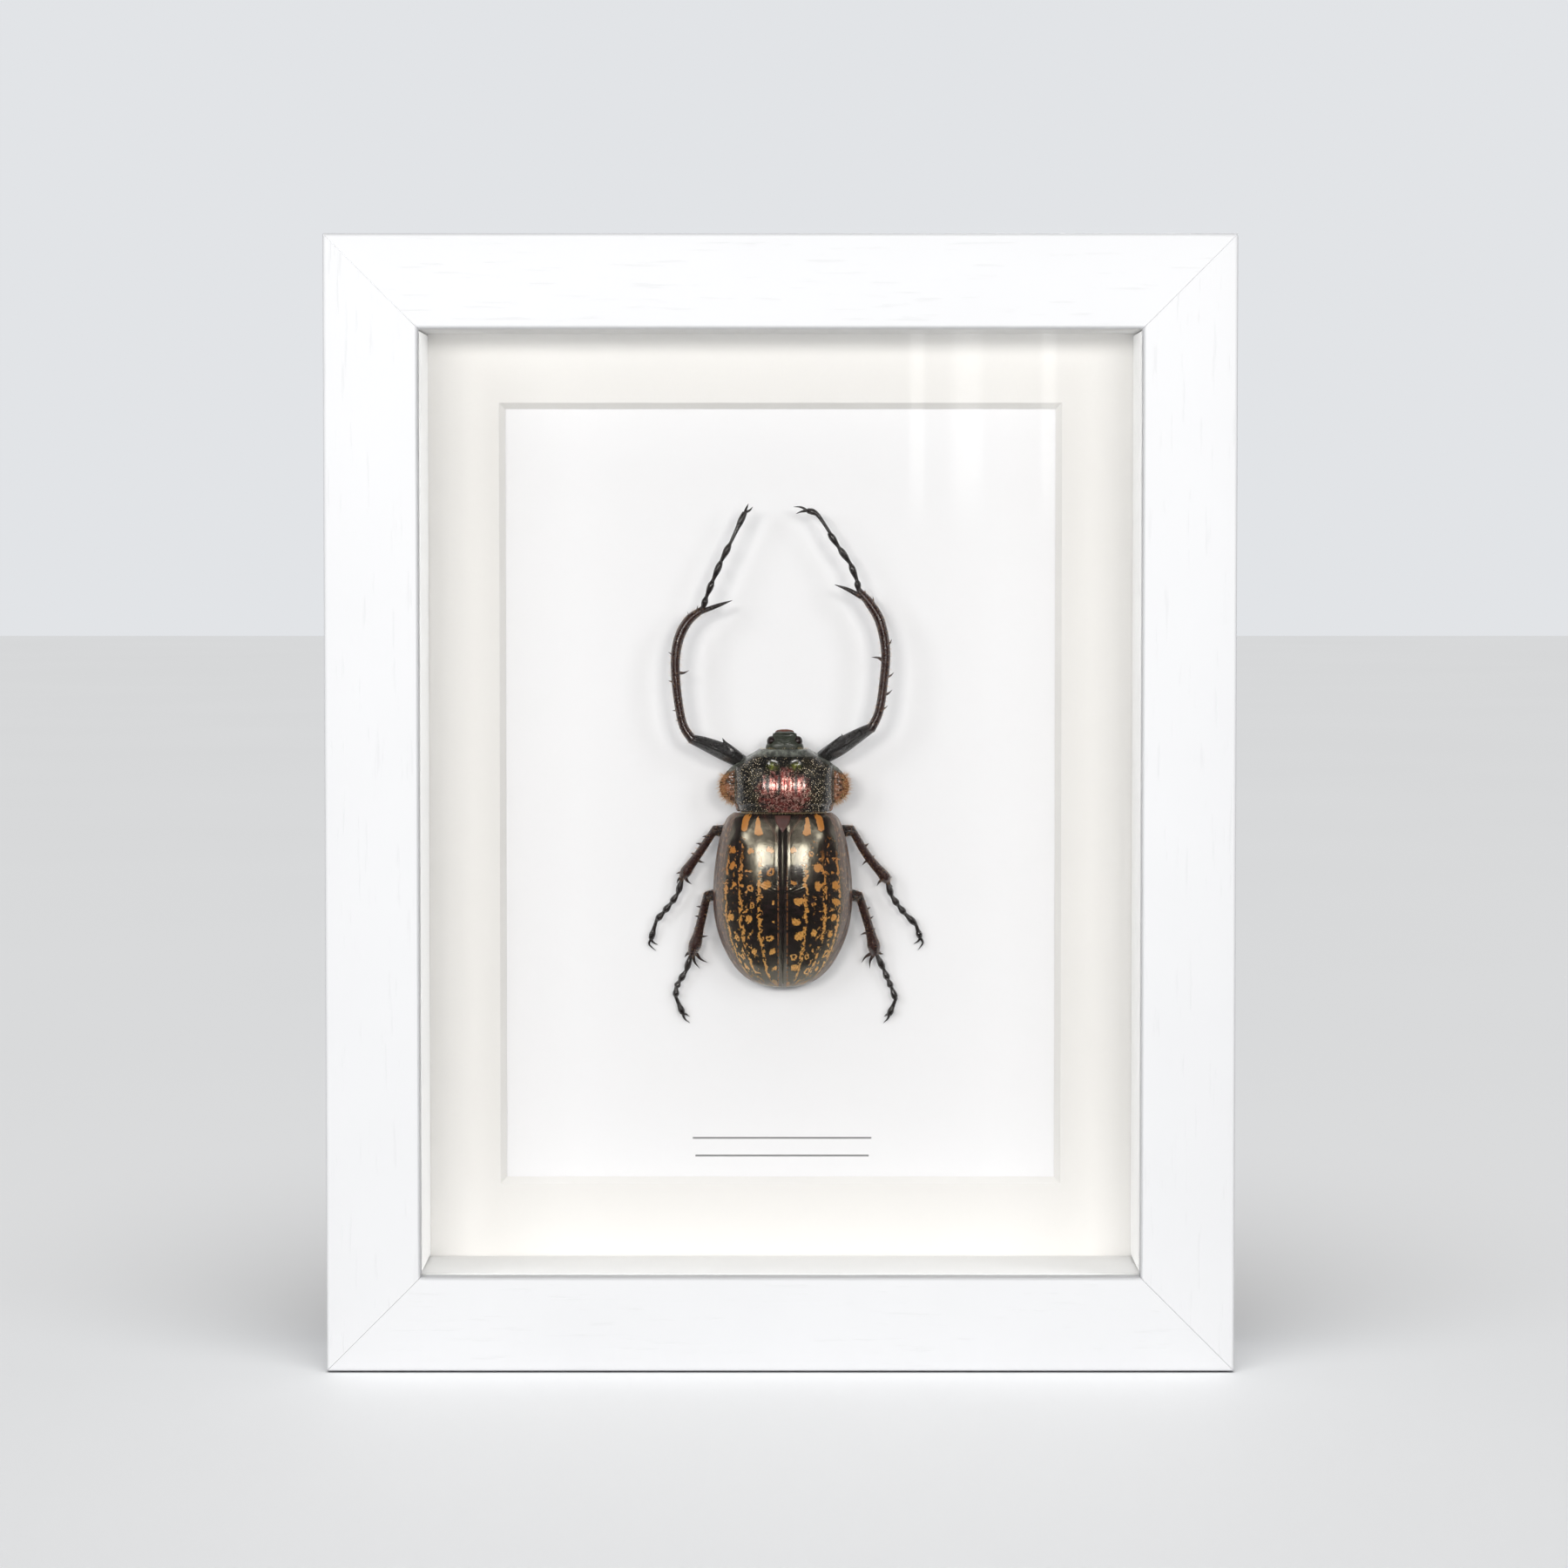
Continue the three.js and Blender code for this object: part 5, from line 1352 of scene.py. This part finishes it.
def growBristles(name, base, finish, sizes, slot):
    # The base is a scratch mesh that only says where the bristles stand.
    tree = bristleTree(finish)
    source = placed(name + "Base", base)
    grow = source.modifiers.new("grow", "NODES")
    grow.node_group = tree
    perSquare = 1 / mm ** 2
    values = {
        "Density": sizes["density"] * perSquare,
        "Length": sizes["length"] * mm,
        "Radius": sizes["radius"] * mm,
        "Spread": sizes["spread"],
        "Seed": sizes["seed"],
    }
    for item in tree.interface.items_tree:
        if item.name in values and item.in_out == "INPUT":
            grow[item.identifier] = values[item.name]
    evaluated = source.evaluated_get(bpy.context.evaluated_depsgraph_get())
    mesh = bpy.data.meshes.new_from_object(evaluated)
    bpy.data.objects.remove(source)
    piece = linked(name, mesh, finish, 180)
    settle(piece, slot)
    print(name, "has", len(mesh.polygons), "faces")


def ribbonMesh(name, edge, way, width):
    # A narrow strip along an edge, facing the way the bristles grow.
    edge, way = np.asarray(edge, float), np.asarray(way, float)
    along = np.gradient(edge, axis=0)
    across = np.cross(along, way)
    across *= width / 2 / np.linalg.norm(across, axis=1)[:, None]
    rows = np.stack([edge - across, edge + across], axis=1)
    count = len(edge)
    faces = [(2 * k, 2 * k + 1, 2 * k + 3, 2 * k + 2) for k in range(count - 1)]
    mesh = plainMesh(name, toWorld(rows.reshape(-1, 3)).tolist(), faces)
    mesh.update()
    wanted = toWorld(edge[0] + way[0]) - toWorld(edge[0])
    if mesh.polygons[0].normal.dot(Vector(wanted)) < 0:
        mesh.flip_normals()
    return mesh


def buildBristles():
    tuft = bristleFinish("tuftBristle", (0.36, 0.15, 0.05), (0.88, 0.56, 0.26))
    gold = bristleFinish("goldBristle", (0.50, 0.36, 0.17), (0.85, 0.70, 0.42))
    rows = catmull(pronotumRows, 150)
    lobe = rows[(rows[:, 0] > 2.0) & (rows[:, 0] < 8.6)]
    bases = []
    for side in (-1, 1):
        x = side * (lobe[:, 1] - 0.1) + pronotumSet["middle"]
        edge = np.stack([x, lobe[:, 0], np.full(len(lobe), pronotumSet["edge"] - 0.2)], axis=1)
        slope = np.gradient(lobe[:, 1]) / np.gradient(lobe[:, 0])
        way = np.stack([side + 0 * slope, -slope, 0.15 + 0 * slope], axis=1)
        bases.append(ribbonMesh("lobeEdge", edge, way, 0.8))
        inner = edge + (-side * 0.8, 0, 0.35)
        bases.append(ribbonMesh("lobeTop", inner, way + (0, 0, 0.6), 1.0))
    growBristles("lobe_bristles", joinedMesh("lobes", bases), tuft, bristleSet["lobe"], "pronotum_shell")

    # A golden fringe hangs over the rear edge of the shield, and another lies behind the head.
    angle = np.linspace(-1.35, 1.35, 60)
    flange = pronotumSet["flange"]
    bases = []
    for index, share, drop, shift, way, width in bristleSet["fringes"]:
        row = pronotumRows[index]
        x = row[1] * share * np.sin(angle) + pronotumSet["middle"]
        z = flange + (row[2] - flange) * np.cos(angle) ** 0.9 - drop
        edge = np.stack([x, np.full(60, row[0] + shift), z], axis=1)
        bases.append(ribbonMesh("fringeEdge", edge, np.tile(way, (60, 1)), width))
    growBristles("gold_fringe", joinedMesh("edges", bases), gold, bristleSet["fringe"], "pronotum_shell")

    # Sparse setae stand along the legs, apart from the fore femora.
    bases = []
    for name, plan in legPlan.items():
        kind = name.split("_")[0]
        for limb in ("tibia",) if kind == "fore" else ("tibia", "femur"):
            radii = np.asarray(legSet[limb][kind]) * bristleSet["sleeve"]
            bases.append(limbMesh("sleeve", plan[limb], radii, 12, 16))
    growBristles("leg_setae", joinedMesh("sleeves", bases), tuft, bristleSet["leg"], "leg_shell")


buildBristles()
print("bristles grown")


# Stage, lamps and background

wallNames = ["foam_" + side for side in ("top", "bottom", "left", "right")]
stageSet = {
    "floor": (0.80, 0.805, 0.81),
    "floorCloud": (0.83, 0.835, 0.84),
    "floorHalf": 6,            # m
    "floorDrop": 0.0004,
    "sky": (0.95, 0.97, 1.0),
    "skyStrength": 0.14,
    "skyBehindGlass": 0.05,
    "backdropStrength": 0.80,
    "lamps": (  # name, azimuth, elevation, distance in m, width, height, power in W, colour
        ("leftSoftbox", -16, 12.5, 1.25, 0.33, 0.18, 4.5, (1.0, 0.98, 0.95)),
        ("rightSoftbox", 15, 12.5, 1.25, 0.29, 0.18, 3.9, (1.0, 0.98, 0.95)),
        ("leftWindow", -42, 20, 1.3, 0.40, 0.60, 3.5, (0.97, 0.985, 1.0)),
        ("rightWindow", 40, 18, 1.3, 0.36, 0.60, 2.6, (0.98, 0.99, 1.0)),
        ("topFill", 0, 68, 1.3, 1.2, 0.8, 2.1, (1.0, 1.0, 1.0)),
        ("rearSoftbox", 158, 32, 1.4, 0.9, 0.6, 9.0, (1.0, 1.0, 1.0)),
    ),
    "fills": (  # the pieces that a lamp lights, and the lamp
        (("title_card",), ("cardFill", 0, 4, 1.4, 0.6, 0.4, 3.0, (1.0, 0.99, 0.98))),
        (wallNames + ["mat"], ("matFill", 0, -5, 1.4, 0.6, 0.4, 6.5, (1.0, 0.99, 0.98))),
        (wallNames, ("leftWallFill", -60, 0, 1.3, 0.4, 0.6, 8.0, (1.0, 1.0, 1.0))),
        (wallNames, ("rightWallFill", 60, 0, 1.3, 0.4, 0.6, 10.5, (1.0, 1.0, 1.0))),
    ),
    "floorSun": 2.7,           # W/m2, for the floor alone
    "sunTilt": 25,             # degrees
    "sunAngle": 50,
    "glints": ((0.081, 0.007), (0.111, 0.014), (0.160, 0.007)),  # m: each pale strip's place and half-width
    "glintSpan": (0.05, 0.20, 0.175, 0.33),
    "glintBack": -1.5,
    "glintStrength": 9.0,
}


def addLamp(receivers, name, azimuth, elevation, distance, width, height, power, colour, clear=None):
    data = bpy.data.lights.new(name, "AREA")
    data.cycles.use_multiple_importance_sampling = False
    data.shape = "RECTANGLE"
    data.size = width
    data.size_y = height
    data.energy = power
    data.color = colour
    lamp = placed(name, data)
    a, e = math.radians(azimuth), math.radians(elevation)
    way = Vector((math.sin(a) * math.cos(e), -math.cos(a) * math.cos(e), math.sin(e)))
    target = Vector((0, 0, (frameLow[2] + frameHigh[2]) / 2))
    lamp.location = target + way * distance
    lamp.rotation_euler = way.to_track_quat("Z", "Y").to_euler()
    lamp.visible_camera = False
    lamp.visible_glossy = "Softbox" in name
    lamp.light_linking.receiver_collection = receivers
    lamp.light_linking.blocker_collection = clear


def receiverSet(name, pieces):
    # Light linking: the pieces in the set are the ones that a lamp lights.
    group = bpy.data.collections.new(name)
    for piece in pieces:
        group.objects.link(bpy.data.objects[piece])
    return group


def addGlints():
    # Pale strips behind the camera, as of a window, that only the pane mirrors.
    left, right, low, high = stageSet["glintSpan"]
    y = stageSet["glintBack"]
    corners = [(left, y, low), (left, y, high), (right, y, high), (right, y, low)]
    mesh = plainMesh("windowStrips", corners, [(0, 1, 2, 3)])
    f = Finish("windowStrips")
    x, _, z = f.split(f.place())
    glow = None
    for middle, half in stageSet["glints"]:
        strip = f.step(1 - abs(x - middle) / half, 0, 0.8)
        glow = strip if glow is None else glow.most(strip)
    glow = glow * f.step(z, low, low + 0.06) * f.step(high - z, 0, 0.03)
    f.surface(
        Base_Color=(0.0, 0.0, 0.0),
        Emission_Color=f.mix(glow, (0.0, 0.0, 0.0), (1.0, 1.0, 1.0)),
        Emission_Strength=stageSet["glintStrength"],
    )
    f.material.cycles.emission_sampling = "NONE"
    strips = linked("window_strips", mesh, f.material)
    strips.visible_camera = strips.visible_diffuse = False
    strips.visible_transmission = strips.visible_shadow = False


def addStage():
    half = stageSet["floorHalf"]
    corners = [(-half, -half, 0), (half, -half, 0), (half, half, 0), (-half, half, 0)]
    mesh = plainMesh("floor", corners, [(0, 1, 2, 3)])
    f = Finish("paleFloor")
    cloud = f.grain(3, 2.0)
    f.surface(Base_Color=f.mix(cloud, stageSet["floor"], stageSet["floorCloud"]), Roughness=0.7)
    floor = linked("floor", mesh, f.material)
    floor.location.z = -stageSet["floorDrop"]
    floor.visible_glossy = floor.visible_transmission = False
    world = bpy.data.worlds.new("studio")
    world.use_nodes = True
    world.cycles.sampling_method = "NONE"
    tree = world.node_tree
    path = tree.nodes.new("ShaderNodeLightPath")

    def mixed(ray, first, second):
        node = tree.nodes.new("ShaderNodeMix")
        for key, value in (("Factor", Sock(tree, path.outputs[ray])), ("A", first), ("B", second)):
            feed(tree, node.inputs[key], value)
        return Sock(tree, node.outputs["Result"])

    strength = mixed("Is Transmission Ray", stageSet["skyStrength"], stageSet["skyBehindGlass"])
    strength = mixed("Is Camera Ray", strength, stageSet["backdropStrength"])
    background = tree.nodes["Background"]
    feed(tree, background.inputs["Color"], stageSet["sky"])
    feed(tree, background.inputs["Strength"], strength)
    bpy.context.scene.world = world
    bpy.context.scene.view_settings.view_transform = "Standard"
    # The lamps shine through the pane as shadow rays, so they don't light the pane itself as well.
    # The upper rail shades none of the front lamps, and the upper spacer not the windows,
    # so the mat under them stays nearly as pale as the rest.
    others = receiverSet("allButPaneAndFloor", ["glass_pane", "floor"])
    clear = {
        "Softbox": receiverSet("allButUpperRail", ["rail_top"]),
        "Window": receiverSet("allButUpperEdge", ["rail_top", "foam_top"]),
    }
    for lamp in stageSet["lamps"]:
        kinds = [kind for kind in clear if kind in lamp[0]]
        addLamp(others, *lamp, clear[kinds[0]] if kinds else None)
    for left in (others, *clear.values()):
        for member in left.collection_objects:
            member.light_linking.link_state = "EXCLUDE"
    for pieces, lamp in stageSet["fills"]:
        addLamp(receiverSet(lamp[0], pieces), *lamp)
    sun = bpy.data.lights.new("floorSun", "SUN")
    sun.energy = stageSet["floorSun"]
    sun.angle = math.radians(stageSet["sunAngle"])
    sunLamp = placed("floorSun", sun)
    sunLamp.rotation_euler = (math.radians(stageSet["sunTilt"]), 0, 0)
    sunLamp.light_linking.receiver_collection = receiverSet("floorOnly", ["floor"])


addStage()
addGlints()
print("stage set")
